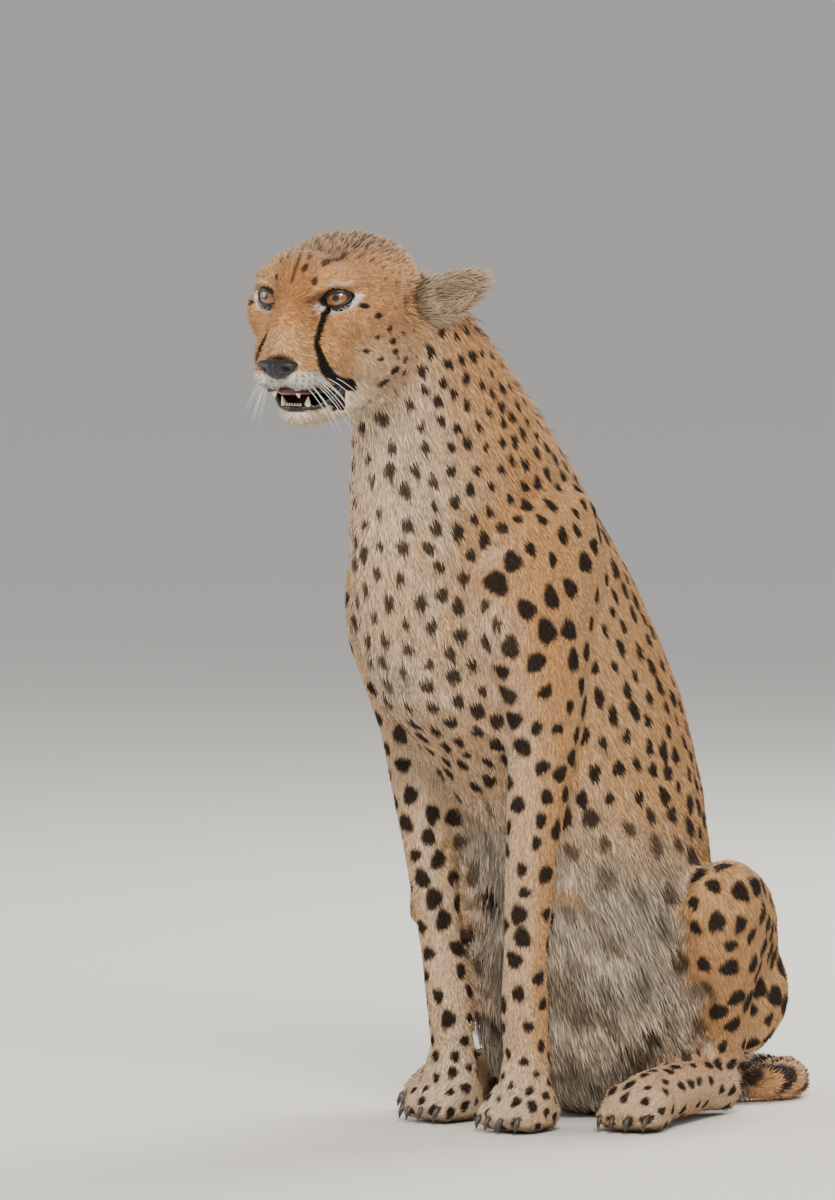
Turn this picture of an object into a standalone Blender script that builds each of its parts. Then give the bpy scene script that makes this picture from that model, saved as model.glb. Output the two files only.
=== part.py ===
"""A sitting adult cheetah, life size, as a still museum model.

Metres, +Z up. The animal looks along -Y and its left side is +X. The body is modelled
whole, from lofted and rounded forms that are fused and smoothed, and is then parted by
thin cuts into the pieces that a person would name.
"""

import math

import bmesh
import bpy
from mathutils import Matrix, Vector

# ---- driving dimensions -------------------------------------------------------------
GAP = 0.0003  # between touching pieces
VOXEL = 0.0040  # grain of the fused body before it is thinned out
SMOOTH_STEPS = 8
HEAD_TRIANGLES = 1450  # kept by the head and neck
BODY_TRIANGLES = 1700  # kept by the trunk, legs and tail
RING = 28  # points round a lofted section
EAR_RING = 14  # the same on an ear
REGION_RING = 10  # the same on the cuts round a limb
REGION_MARGIN = 0.008  # how far the cut round a limb stands off its form

EYE_LINE = Vector((0.030, -0.272, 0.839))  # midpoint between the eyes
HEAD_YAW = math.radians(15)  # the head turns to the animal's left
EYE_SPACING = 0.0395  # half the distance between the irises
EYE_RADIUS = 0.0155
EYE_DEPTH = 0.0080  # eyeball centre behind the eye line
CANINE = ((0.0140, -0.0100, -0.1125), (0.0160, -0.0160, -0.0930))  # left lower: base, tip
CANINE_RADIUS = 0.0032
LID_OPENING = (0.0130, 0.0170, 0.0092)  # half sizes across, deep and high

TOE_SPACING = 0.0170
CLAW_RADIUS = 0.0036
TAIL_RADIUS = 0.0195

COLLECTION = "cheetah"
CUTTERS = "cheetah_cutters"

# Trunk and neck as sections from the skull to the rump. Each has the back point and the
# belly point in the middle plane as (y, z), the half width, and its shift to the left.
TRUNK = (
    ((-0.115, 0.872), (-0.190, 0.795), 0.040, 0.016),
    ((-0.048, 0.830), (-0.172, 0.738), 0.062, 0.010),
    ((0.013, 0.773), (-0.160, 0.685), 0.072, 0.005),
    ((0.080, 0.702), (-0.156, 0.622), 0.084, 0.0),
    ((0.143, 0.619), (-0.150, 0.525), 0.096, 0.0),
    ((0.205, 0.530), (-0.116, 0.430), 0.106, 0.0),
    ((0.248, 0.440), (-0.030, 0.360), 0.114, 0.0),
    ((0.276, 0.350), (0.020, 0.285), 0.121, -0.003),
    ((0.290, 0.265), (0.033, 0.202), 0.131, -0.009),
    ((0.306, 0.175), (0.042, 0.110), 0.129, -0.010),
    ((0.322, 0.090), (0.075, 0.034), 0.110, -0.006),
    ((0.310, 0.030), (0.160, -0.008), 0.070, 0.0),
)
NECK_CUT = ((0.0, -0.0375, 0.643), (0.0, -0.345, 0.939))  # a point, and the way up the neck

# The left foreleg from the shoulder blade to the wrist, as centre (x, y, z) and half sizes
# across and along. The right one mirrors it, and its lower part leans in and back.
FORELEG = (
    ((0.060, 0.066, 0.622), 0.028, 0.036),
    ((0.078, 0.036, 0.580), 0.035, 0.072),
    ((0.092, -0.010, 0.530), 0.038, 0.080),
    ((0.097, -0.006, 0.470), 0.034, 0.061),
    ((0.092, 0.003, 0.410), 0.0305, 0.046),
    ((0.086, 0.000, 0.350), 0.0285, 0.0365),
    ((0.078, -0.004, 0.260), 0.0240, 0.0285),
    ((0.071, -0.002, 0.175), 0.0215, 0.0245),
    ((0.064, 0.002, 0.122), 0.0240, 0.0265),
    ((0.063, 0.006, 0.078), 0.0240, 0.0240),
    ((0.064, 0.003, 0.044), 0.0285, 0.0280),
    ((0.065, 0.002, 0.018), 0.0300, 0.0320),
)
RIGHT_LEAN = Vector((0.010, 0.014, 0.0))  # in the lower leg, from nothing at the elbow
ELBOW_HEIGHT = 0.41
LEAN_OVER = 0.20  # height in which the lean comes about

# Hind leg joints: hip, knee, heel and toes. The right foot is drawn in.
HIND_JOINTS = {
    "left": ((0.062, 0.285, 0.150), (0.152, 0.196, 0.226), (0.092, 0.264, 0.036), (0.142, 0.090, 0.030)),
    "right": ((-0.062, 0.270, 0.150), (-0.172, 0.116, 0.226), (-0.092, 0.235, 0.036), (-0.128, 0.088, 0.030)),
}

# The tail's course on the floor, from its root under the rump.
TAIL = (
    (0.000, 0.290, 0.050),
    (0.008, 0.322, 0.034),
    (0.026, 0.350, 0.022),
    (0.046, 0.378, 0.018),
    (0.042, 0.412, 0.019),
    (0.008, 0.432, 0.020),
    (-0.050, 0.436, 0.021),
    (-0.115, 0.420, 0.021),
    (-0.175, 0.384, 0.021),
    (-0.215, 0.330, 0.021),
    (-0.234, 0.270, 0.021),
    (-0.238, 0.205, 0.021),
)
TAIL_FREE = 12  # the first point of the smooth course that is clear of the rump
TAIL_LENGTHS = 3
TAIL_BUSH = 0.22  # how much thicker the tail gets towards its tip

# The ear from its root to its tip, in the head's own axes: centre, half thickness, half
# width. The hollow is the same, moved towards the opening.
EAR = (
    ((0.052, 0.133, -0.013), 0.0130, 0.0240),
    ((0.070, 0.142, -0.007), 0.0125, 0.0245),
    ((0.086, 0.149, 0.001), 0.0110, 0.0225),
    ((0.099, 0.155, 0.009), 0.0085, 0.0180),
    ((0.108, 0.159, 0.014), 0.0065, 0.0115),
)
EAR_HOLLOW = (
    ((0.070, 0.142, -0.007), 0.0090, 0.0160),
    ((0.086, 0.149, 0.001), 0.0085, 0.0160),
    ((0.100, 0.155, 0.011), 0.0055, 0.0090),
)

# Materials: what they are on, by how a node's name starts, then colour and roughness.
LOOKS = {
    "coat_head": (("head", "ear"), (0.58, 0.36, 0.18, 1.0), 0.85),
    "coat_jaw": (("jaw",), (0.74, 0.66, 0.55, 1.0), 0.85),
    "coat_body": (("neck", "trunk", "fore", "hind", "tail"), (0.62, 0.44, 0.27, 1.0), 0.85),
    "eye": (("eye",), (0.36, 0.15, 0.03, 1.0), 0.08),
    "nose_leather": (("nose",), (0.015, 0.013, 0.012, 1.0), 0.45),
}
SMOOTH_ANGLE = math.radians(50)  # edges turned more sharply than this stay sharp


# ---- scene, materials and small helpers ---------------------------------------------
def clear_scene():
    for thing in list(bpy.data.objects):
        bpy.data.objects.remove(thing, do_unlink=True)


def collection(name):
    made = bpy.data.collections.new(name)
    bpy.context.scene.collection.children.link(made)
    return made


def material(name, colour, roughness):
    made = bpy.data.materials.new(name)
    made.use_nodes = True
    shader = made.node_tree.nodes["Principled BSDF"]
    shader.inputs["Base Color"].default_value = colour
    shader.inputs["Roughness"].default_value = roughness
    shader.inputs["Metallic"].default_value = 0.0
    made.diffuse_color = colour
    return made


def add_object(name, mesh, home):
    made = bpy.data.objects.new(name, mesh)
    home.objects.link(made)
    return made


def object_from_bmesh(name, bm, home):
    bmesh.ops.recalc_face_normals(bm, faces=bm.faces)
    mesh = bpy.data.meshes.new(name)
    bm.to_mesh(mesh)
    bm.free()
    return add_object(name, mesh, home)


def apply_modifiers(thing):
    """Replaces the object's mesh by its evaluated one."""
    bpy.context.view_layer.update()
    graph = bpy.context.evaluated_depsgraph_get()
    mesh = bpy.data.meshes.new_from_object(thing.evaluated_get(graph))
    thing.modifiers.clear()
    thing.data = mesh


def boolean(thing, other, operation, solver="EXACT"):
    step = thing.modifiers.new(operation.lower(), "BOOLEAN")
    step.operation = operation
    step.solver = solver
    step.object = other
    apply_modifiers(thing)


def joined(name, pieces, home):
    """Joins the pieces' meshes into one object and removes them."""
    bm = bmesh.new()
    for piece in pieces:
        mesh = piece.data.copy()
        mesh.transform(piece.matrix_world)
        bm.from_mesh(mesh)
        bpy.data.meshes.remove(mesh)
        bpy.data.objects.remove(piece, do_unlink=True)
    return object_from_bmesh(name, bm, home)


def curve_through(values, steps):
    """Points of a smooth Catmull-Rom curve through equal-length tuples of numbers."""
    rows = [Vector(row) for row in values]
    rows = [rows[0] * 2 - rows[1]] + rows + [rows[-1] * 2 - rows[-2]]
    out = []
    for i in range(1, len(rows) - 2):
        a, b, c, d = rows[i - 1 : i + 3]
        for k in range(steps):
            t = k / steps
            out.append(
                (b * 2 + (c - a) * t + (a * 2 - b * 5 + c * 4 - d) * t**2 + (b * 3 - a - c * 3 + d) * t**3) / 2
            )
    out.append(rows[-2])
    return out


# ---- forms --------------------------------------------------------------------------
def loft(name, sections, home, count=RING):
    """Skins rings of count points, each given by its centre and two half axes, and closes
    both ends. It makes triangles, so that a form and the same form grown have like faces."""
    bm = bmesh.new()
    rings = []
    for centre, side, fore in sections:
        ring = []
        for k in range(count):
            angle = 2 * math.pi * k / count
            ring.append(bm.verts.new(centre + side * math.cos(angle) + fore * math.sin(angle)))
        rings.append(ring)
    for lower, upper in zip(rings, rings[1:]):
        for k in range(count):
            after = (k + 1) % count
            bm.faces.new((lower[k], lower[after], upper[after]))
            bm.faces.new((lower[k], upper[after], upper[k]))
    for ring in (rings[0], rings[-1]):
        middle = sum((v.co for v in ring), Vector()) / count
        top = bm.verts.new(middle)
        for k in range(count):
            bm.faces.new((ring[k], ring[(k + 1) % count], top))
    return object_from_bmesh(name, bm, home)


def limb(name, stations, home, grow=0.0, across=Vector((1, 0, 0)), steps=3, count=RING):
    """A limb through stations of centre, half size across and half size along. The sections
    stand square to the course, and the ends are rounded. With grow it is coarser, and stands
    off the limb by that much."""
    rows = [(*centre, a + grow, b + grow) for centre, a, b in stations]
    rows = curve_through(rows, 1 if grow else steps)
    points = [Vector(row[:3]) for row in rows]
    sections = []
    for i, row in enumerate(rows):
        run = points[min(i + 1, len(points) - 1)] - points[max(i - 1, 0)]
        run.normalize()
        side = (across - run * across.dot(run)).normalized()
        fore = run.cross(side)
        if i == 0:
            sections.append((points[i] - run * row[4] * 0.45, side * row[3] * 0.6, fore * row[4] * 0.6))
        sections.append((points[i], side * row[3], fore * row[4]))
    sections.append((points[-1] + run * row[4] * 0.45, side * row[3] * 0.6, fore * row[4] * 0.6))
    return loft(name, sections, home, REGION_RING if grow else count)


def ball(name, centre, radii, home, turn=None, detail=3):
    """An ellipsoid. turn is a 3x3 matrix whose columns are its axes."""
    bm = bmesh.new()
    bmesh.ops.create_icosphere(bm, subdivisions=detail, radius=1.0)
    place = Matrix.Translation(Vector(centre)) @ (turn.to_4x4() if turn else Matrix())
    bmesh.ops.transform(bm, matrix=place @ Matrix.Diagonal((*radii, 1.0)), verts=bm.verts)
    return object_from_bmesh(name, bm, home)


def cone(name, base, tip, radius, home, sides=7):
    """A claw or a tooth, from its base to its tip."""
    run = Vector(tip) - Vector(base)
    bm = bmesh.new()
    bmesh.ops.create_cone(
        bm, cap_ends=True, segments=sides, radius1=radius, radius2=radius * 0.15, depth=run.length
    )
    turn = run.to_track_quat("Z", "Y").to_matrix().to_4x4()
    place = Matrix.Translation((Vector(base) + Vector(tip)) / 2) @ turn
    bmesh.ops.transform(bm, matrix=place, verts=bm.verts)
    return object_from_bmesh(name, bm, home)


def head_matrix():
    return Matrix.Translation(EYE_LINE) @ Matrix.Rotation(HEAD_YAW, 4, "Z")


def lid_opening(side, home):
    """The almond between the lids, cut from the head in front of the eyeball."""
    turn = Matrix.Rotation(-0.12 * side, 3, "Y")
    form = ball("lids", (EYE_SPACING * side * 0.97, -0.010, 0.0005), LID_OPENING, home, turn, 2)
    return place_in_head([form])[0]


def place_in_head(pieces):
    for piece in pieces:
        piece.data.transform(head_matrix())
    return pieces


def trunk_forms(home):
    rows = [(*back, *belly, width, shift) for back, belly, width, shift in TRUNK]
    rows = curve_through(rows, 4)
    sections = []
    for back_y, back_z, belly_y, belly_z, width, shift in rows:
        back = Vector((shift, back_y, back_z))
        belly = Vector((shift, belly_y, belly_z))
        sections.append(((back + belly) / 2, Vector((width, 0, 0)), (back - belly) / 2))
    return [loft("trunk_form", sections, home)]


def foreleg_shift(side, height):
    if side > 0:
        return Vector()
    return RIGHT_LEAN * min(1.0, max(0.0, (ELBOW_HEIGHT - height) / LEAN_OVER))


def foreleg_stations(side):
    stations = []
    for (x, y, z), across, along in FORELEG:
        centre = Vector((x * side, y, z)) + foreleg_shift(side, z)
        stations.append((tuple(centre), across, along))
    return stations


def toe_places(wrist, ahead):
    """The middle of each of the four toes, in an arc ahead of the point wrist."""
    across = Vector((-ahead.y, ahead.x, 0)).normalized()
    places = []
    for place in (-1.5, -0.5, 0.5, 1.5):
        reach = 0.030 - 0.006 * abs(place)
        centre = wrist + ahead * reach + across * place * TOE_SPACING
        centre.z = 0.016
        places.append(centre)
    return places, across


def toes(wrist, ahead, home):
    centres, across = toe_places(wrist, ahead)
    turn = Matrix((across, ahead, Vector((0, 0, 1)))).transposed()
    forms = []
    for centre in centres:
        forms.append(ball("toe", centre, (0.0108, 0.022, 0.0170), home, turn))
        knuckle = centre - ahead * 0.016 + Vector((0, 0, 0.016))
        forms.append(ball("knuckle", knuckle, (0.0108, 0.020, 0.016), home, turn))
    return forms


def add_claws(leg, wrist, ahead, home):
    """Joins four blunt claws to the tips of the toes."""
    for centre in toe_places(wrist, ahead)[0]:
        base = centre + ahead * 0.014
        tip = centre + ahead * 0.027 + Vector((0, 0, -0.012))
        claw = cone("claw", base, tip, CLAW_RADIUS, home)
        boolean(leg, claw, "UNION", "MANIFOLD")
        bpy.data.objects.remove(claw, do_unlink=True)


def forepaw_frame(side):
    """The point from which the toes of a forepaw are set out, and the way they point."""
    foot = Vector((FORELEG[-1][0][0] * side, FORELEG[-1][0][1], 0.0)) + foreleg_shift(side, 0.0)
    return foot, Vector((0.06 * side, -1, 0)).normalized()


def hindpaw_frame(name):
    heel, toe = (Vector(p) for p in HIND_JOINTS[name][2:])
    return Vector((toe.x, toe.y, 0)), Vector((toe.x - heel.x, toe.y - heel.y, 0)).normalized()


def foreleg_forms(side, home):
    foot, ahead = forepaw_frame(side)
    forms = [limb("foreleg_form", foreleg_stations(side), home)]
    forms.append(ball("forepad", foot + Vector((0, 0.004, 0.018)), (0.034, 0.036, 0.024), home))
    return forms + toes(foot, ahead, home)


def foreleg_region(side, grow, home):
    """The space that a foreleg takes, a little proud of its surface."""
    foot, _ = forepaw_frame(side)
    region = limb("region", foreleg_stations(side), home, REGION_MARGIN + grow)
    paw = slab("paw", foot + Vector((0, -0.022, 0.02)), (0.084 + 2 * grow, 0.125 + 2 * grow, 0.07), None, home)
    boolean(region, paw, "UNION")
    bpy.data.objects.remove(paw, do_unlink=True)
    return region


def hindleg_stations(name):
    hip, knee, heel, toe = (Vector(p) for p in HIND_JOINTS[name])
    ankle = heel + Vector((0, 0, 0.022))
    thigh = [
        (tuple(hip), 0.058, 0.076),
        (tuple(hip.lerp(knee, 0.5)), 0.052, 0.070),
        (tuple(knee), 0.040, 0.046),
    ]
    shank = [
        (tuple(knee + Vector((0, 0, -0.006))), 0.036, 0.042),
        (tuple(knee.lerp(ankle, 0.35)), 0.034, 0.046),
        (tuple(knee.lerp(ankle, 0.7)), 0.024, 0.030),
        (tuple(ankle), 0.019, 0.022),
    ]
    foot = [
        (tuple(heel + Vector((0, 0, -0.008))), 0.020, 0.028),
        (tuple(heel.lerp(toe, 0.35)), 0.021, 0.028),
        (tuple(heel.lerp(toe, 0.75)), 0.028, 0.029),
        (tuple(toe), 0.031, 0.027),
    ]
    return thigh, shank, foot


def hindleg_forms(name, home, grow=0.0):
    thigh, shank, foot = hindleg_stations(name)
    return [
        limb("thigh_form", thigh, home, grow),
        limb("shank_form", shank, home, grow),
        limb("hindfoot_form", foot, home, grow),
    ]


def hind_paw_forms(name, home):
    foot, ahead = hindpaw_frame(name)
    pad = ball("hindpad", foot + Vector((0, 0, 0.020)), (0.033, 0.034, 0.028), home)
    return [pad] + toes(foot, ahead, home)


def ham(name, home, grow=0.0):
    hip, _, heel, _ = (Vector(p) for p in HIND_JOINTS[name])
    middle = hip.lerp(heel, 0.35) + Vector((0.004, 0.024, 0.010))
    radii = (0.050 + grow, 0.050 + grow, 0.066 + grow)
    return ball("ham", middle, radii, home, detail=2 if grow else 3)


def hindleg_region(name, grow, home):
    heel, toe = (Vector(p) for p in HIND_JOINTS[name][2:])
    thigh, shank, foot = hindleg_forms(name, home, REGION_MARGIN + grow)
    haunch = ham(name, home, REGION_MARGIN + grow)
    turn = Vector((heel.x - toe.x, heel.y - toe.y, 0)).to_track_quat("Y", "Z").to_matrix()
    centre = toe + (toe - heel).normalized() * 0.024
    size = (0.10 + 2 * grow, 0.13 + 2 * grow, 0.13)
    paw = slab("paw", (centre.x, centre.y, 0.0), size, turn, home)
    for other in (haunch, shank, foot, paw):
        boolean(thigh, other, "UNION")
        bpy.data.objects.remove(other, do_unlink=True)
    return thigh


def tail_points():
    return [Vector(p) for p in curve_through(TAIL, 5)]


def tail_form(home, first=0, last=None, grow=0.0):
    points = tail_points()
    total = len(points) - 1
    last = total if last is None else last
    stations = []
    for i in range(first, last + 1, 2):
        radius = TAIL_RADIUS * (1.05 + TAIL_BUSH * i / total) + grow
        if i == total:
            radius *= 0.8
        stations.append((tuple(points[i]), radius, radius))
    return limb("tail_form", stations, home, across=Vector((0, 0, 1)))


def head_forms(home):
    forms = [
        ball("cranium", (0, 0.088, 0.014), (0.068, 0.078, 0.051), home),
        ball("fore_crown", (0, 0.058, 0.008), (0.056, 0.058, 0.046), home),
        ball("forehead", (0, 0.026, 0.006), (0.054, 0.048, 0.040), home),
        ball("face", (0, 0.018, -0.028), (0.052, 0.034, 0.046), home),
        ball("muzzle", (0, -0.010, -0.058), (0.034, 0.038, 0.031), home),
        ball("throat", (0, 0.085, -0.062), (0.060, 0.058, 0.046), home),
        ball("chin", (0, -0.002, -0.1145), (0.021, 0.023, 0.0130), home),
        ball("jaw_floor", (0, 0.040, -0.094), (0.034, 0.050, 0.024), home),
        limb(
            "nose_bridge",
            (
                ((0, 0.014, 0.026), 0.036, 0.030),
                ((0, -0.010, 0.000), 0.0270, 0.023),
                ((0, -0.025, -0.033), 0.0225, 0.021),
                ((0, -0.036, -0.062), 0.0215, 0.019),
            ),
            home,
        ),
    ]
    for side in (-1, 1):
        forms += [
            ball("brow", (0.034 * side, 0.009, 0.017), (0.026, 0.024, 0.016), home),
            ball("orbit", (0.042 * side, 0.030, 0.000), (0.028, 0.026, 0.026), home),
            ball("under_eye", (0.032 * side, 0.012, -0.028), (0.024, 0.022, 0.022), home),
            ball("cheekbone", (0.050 * side, 0.042, -0.016), (0.031, 0.046, 0.034), home),
            ball("temple", (0.040 * side, 0.060, 0.014), (0.034, 0.050, 0.034), home),
            ball("cheek", (0.044 * side, 0.064, -0.052), (0.037, 0.052, 0.042), home),
            ball("upper_cheek", (0.028 * side, 0.008, -0.056), (0.025, 0.040, 0.033), home),
            ball("whisker_pad", (0.0175 * side, -0.030, -0.073), (0.0190, 0.024, 0.0180), home),
            limb(
                "jawbone",
                (
                    ((0.008 * side, -0.002, -0.112), 0.015, 0.014),
                    ((0.024 * side, 0.025, -0.102), 0.018, 0.018),
                    ((0.040 * side, 0.060, -0.080), 0.022, 0.024),
                ),
                home,
            ),
        ]
    return place_in_head(forms)


def mouth_cutter(home):
    """The open mouth, a wedge that narrows to the corners of the lips."""
    profile = (
        (0.016, -0.0835),
        (0.004, -0.0890),
        (-0.090, -0.0890),
        (-0.090, -0.1080),
        (-0.010, -0.1080),
        (0.002, -0.1010),
        (0.010, -0.0925),
    )
    bm = bmesh.new()
    face = bm.faces.new([bm.verts.new((-0.05, y, z)) for y, z in profile])
    swept = bmesh.ops.extrude_face_region(bm, geom=[face])
    moved = [v for v in swept["geom"] if isinstance(v, bmesh.types.BMVert)]
    bmesh.ops.translate(bm, verts=moved, vec=(0.10, 0, 0))
    cutter = object_from_bmesh("mouth_cutter", bm, home)
    cutter.data.transform(head_matrix())
    return cutter


def ear_form(side, home, sizes, lift, grow=0.0):
    """The ear as a flattened limb from its root to its tip. lift moves it towards the side
    that it opens to."""
    opening = Vector((0.42 * side, -0.88, -0.22)).normalized()
    stations = []
    for (x, y, z), thick, wide in sizes:
        stations.append((tuple(Vector((x * side, y, z)) + opening * lift), thick + grow, wide + grow))
    rows = limb("ear", stations, home, across=opening, steps=1, count=EAR_RING)
    return place_in_head([rows])[0]


def ear(side, home):
    """A rounded cup, folded back along the side of the head."""
    shell = ear_form(side, home, EAR, 0.0)
    subtract(shell, [ear_form(side, home, EAR_HOLLOW, 0.0085)])
    return shell


def eye(side, home, grow=0.0):
    centre = head_matrix() @ Vector((EYE_SPACING * side * 0.94, EYE_DEPTH, 0.0))
    return ball("eye", centre, (EYE_RADIUS + grow,) * 3, home, detail=2)


def add_canines(jaw, home):
    """Joins the two lower canines, which the open mouth shows, to the jaw."""
    for side in (-1, 1):
        base, tip = (head_matrix() @ Vector((x * side, y, z)) for x, y, z in CANINE)
        tooth = cone("tooth", base, tip, CANINE_RADIUS, home)
        boolean(jaw, tooth, "UNION", "MANIFOLD")
        bpy.data.objects.remove(tooth, do_unlink=True)


def nose(home, grow=0.0):
    """The bare black nose pad, a rounded wedge across the end of the muzzle."""
    radii = (0.0235 + grow, 0.0120 + grow, 0.0090 + grow)
    top = ball("nose", (0, -0.0515, -0.0640), radii, home, detail=2)
    radii = (0.0100 + grow, 0.0085 + grow, 0.0085 + grow)
    low = ball("nose_low", (0, -0.047, -0.0710), radii, home, detail=2)
    boolean(top, low, "UNION")
    bpy.data.objects.remove(low, do_unlink=True)
    return place_in_head([top])[0]


# ---- fusing, thinning and parting ---------------------------------------------------
def fuse(forms, home):
    """One smooth closed mesh round all the forms."""
    body = joined("body", forms, home)
    step = body.modifiers.new("fuse", "REMESH")
    step.mode = "VOXEL"
    step.voxel_size = VOXEL
    step = body.modifiers.new("smooth", "SMOOTH")
    step.factor = 0.5
    step.iterations = SMOOTH_STEPS
    apply_modifiers(body)
    return body


def floor_box(home):
    bm = bmesh.new()
    bmesh.ops.create_cube(bm, size=2.0)
    bmesh.ops.translate(bm, verts=bm.verts, vec=(0, 0, -1.0))
    return object_from_bmesh("floor_cutter", bm, home)


def thin_out(body, triangles):
    count = sum(len(face.vertices) - 2 for face in body.data.polygons)
    step = body.modifiers.new("thin", "DECIMATE")
    step.ratio = triangles / count
    apply_modifiers(body)


def slab(name, centre, size, turn, home):
    """A box of the full size given, turned by a 3x3 matrix."""
    bm = bmesh.new()
    bmesh.ops.create_cube(bm, size=1.0)
    place = Matrix.Translation(Vector(centre)) @ (turn.to_4x4() if turn else Matrix())
    bmesh.ops.transform(bm, matrix=place @ Matrix.Diagonal((*size, 1.0)), verts=bm.verts)
    return object_from_bmesh(name, bm, home)


def half_space(point, normal, grow, home):
    """A big box on the normal's side of a plane, moved back by grow."""
    normal = Vector(normal).normalized()
    size = 2.0
    centre = Vector(point) + normal * (size / 2 - grow)
    return slab("region", centre, (size, size, size), normal.to_track_quat("Z", "Y").to_matrix(), home)


def part_off(body, name, region_maker, home, solver="EXACT"):
    """Cuts the region out of the body as a piece of its own, a gap away from the rest.
    The rounded regions of the limbs need the MANIFOLD solver, as EXACT returns nothing."""
    piece = add_object(name, body.data.copy(), home)
    for thing, grow, operation in ((piece, 0.0, "INTERSECT"), (body, GAP, "DIFFERENCE")):
        region = region_maker(grow)
        boolean(thing, region, operation, solver)
        bpy.data.objects.remove(region, do_unlink=True)
    return piece


def drop_crumbs(thing):
    """Keeps the largest connected piece, without the slivers that a cut can leave."""
    bm = bmesh.new()
    bm.from_mesh(thing.data)
    left = set(bm.verts)
    pieces = []
    while left:
        piece = set()
        edge = [left.pop()]
        while edge:
            vert = edge.pop()
            piece.add(vert)
            for link in vert.link_edges:
                other = link.other_vert(vert)
                if other in left:
                    left.remove(other)
                    edge.append(other)
        pieces.append(piece)
    pieces.sort(key=len)
    for piece in pieces[:-1]:
        bmesh.ops.delete(bm, geom=list(piece), context="VERTS")
    bm.to_mesh(thing.data)
    bm.free()


def subtract(thing, cutters):
    for cutter in cutters:
        boolean(thing, cutter, "DIFFERENCE")
        bpy.data.objects.remove(cutter, do_unlink=True)


def build_body(home, bench):
    """The fused body, returned as its upper part (head and neck) and its lower part."""
    forms = trunk_forms(bench) + head_forms(bench)
    for side in (-1, 1):
        forms += foreleg_forms(side, bench)
    for name in HIND_JOINTS:
        forms += hindleg_forms(name, bench) + hind_paw_forms(name, bench)
        forms.append(ham(name, bench))
    forms.append(tail_form(bench))
    lower = fuse(forms, home)
    upper = add_object("upper", lower.data.copy(), home)
    point, way = Vector(NECK_CUT[0]), Vector(NECK_CUT[1])
    spare = 0.02
    subtract(upper, [half_space(point - way * spare, -way, 0.0, bench)])
    subtract(lower, [half_space(point + way * spare, way, 0.0, bench)])
    thin_out(upper, HEAD_TRIANGLES)
    thin_out(lower, BODY_TRIANGLES)
    subtract(upper, [half_space(point, -way, 0.0, bench), mouth_cutter(bench)])
    subtract(lower, [half_space(point, way, GAP, bench), floor_box(bench)])
    return upper, lower


def build():
    clear_scene()
    home = collection(COLLECTION)
    bench = collection(CUTTERS)
    neck, trunk = build_body(home, bench)
    neck.name = "neck"
    trunk.name = "trunk"

    def head_region(grow):
        back = head_matrix() @ Vector((0, 0.124, -0.030))
        way = head_matrix().to_3x3() @ Vector((0, -0.180, 0.052))
        return half_space(back, way, grow, bench)

    for side, name in ((1, "left"), (-1, "right")):
        subtract(neck, [ear_form(side, bench, EAR, 0.0, GAP)])
        subtract(neck, [eye(side, bench, GAP), lid_opening(side, bench)])
        ear(side, home).name = f"ear_{name}"
        eye(side, home).name = f"eye_{name}"
    head = part_off(neck, "head", head_region, home)
    subtract(head, [nose(bench, GAP)])
    nose(home).name = "nose"

    def jaw_region(grow):
        hinge = head_matrix() @ Vector((0, 0.013, -0.0868))
        way = head_matrix().to_3x3() @ Vector((0, 0.35, -0.937))
        return half_space(hinge, way, grow, bench)

    add_canines(part_off(head, "jaw", jaw_region, home), bench)
    limbs = {}
    for side, name in ((1, "left"), (-1, "right")):
        limbs[f"foreleg_{name}"] = lambda grow, side=side: foreleg_region(side, grow, bench)
        limbs[f"hindleg_{name}"] = lambda grow, name=name: hindleg_region(name, grow, bench)
    count = len(tail_points()) - 1
    for number in range(TAIL_LENGTHS, 0, -1):
        first = TAIL_FREE + (count - TAIL_FREE) * (number - 1) // TAIL_LENGTHS
        limbs[f"tail_{number}"] = lambda grow, first=first: tail_form(
            bench, first, None, REGION_MARGIN + grow
        )
    for name, region_maker in limbs.items():
        limbs[name] = part_off(trunk, name, region_maker, home, "MANIFOLD")
    for piece in [trunk] + list(limbs.values()):
        drop_crumbs(piece)
    for side, name in ((1, "left"), (-1, "right")):
        add_claws(limbs[f"foreleg_{name}"], *forepaw_frame(side), bench)
        add_claws(limbs[f"hindleg_{name}"], *hindpaw_frame(name), bench)
    centre_on_origin(home)
    paint(home)


def centre_on_origin(home):
    """Moves everything so that the origin is under the middle of the whole box."""
    corners = [v.co for thing in home.objects for v in thing.data.vertices]
    middle = [(min(c[i] for c in corners) + max(c[i] for c in corners)) / 2 for i in (0, 1)]
    for thing in home.objects:
        thing.data.transform(Matrix.Translation((-middle[0], -middle[1], 0)))


def paint(home):
    """Gives each piece its material and smooth shading."""
    for name, (starts, colour, roughness) in LOOKS.items():
        look = material(name, colour, roughness)
        for thing in home.objects:
            if thing.name.startswith(starts):
                thing.data.materials.clear()
                thing.data.materials.append(look)
                thing.data.shade_smooth()
                thing.data.set_sharp_from_angle(angle=SMOOTH_ANGLE)


build()
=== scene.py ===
"""Looks for the sitting cheetah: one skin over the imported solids, a coat of tufts, eyes,
nose, mouth, teeth, claws and whiskers, on a pale studio floor."""

import math

import bmesh
import bpy
import numpy as np
from mathutils import Matrix, Vector
from mathutils.kdtree import KDTree


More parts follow.
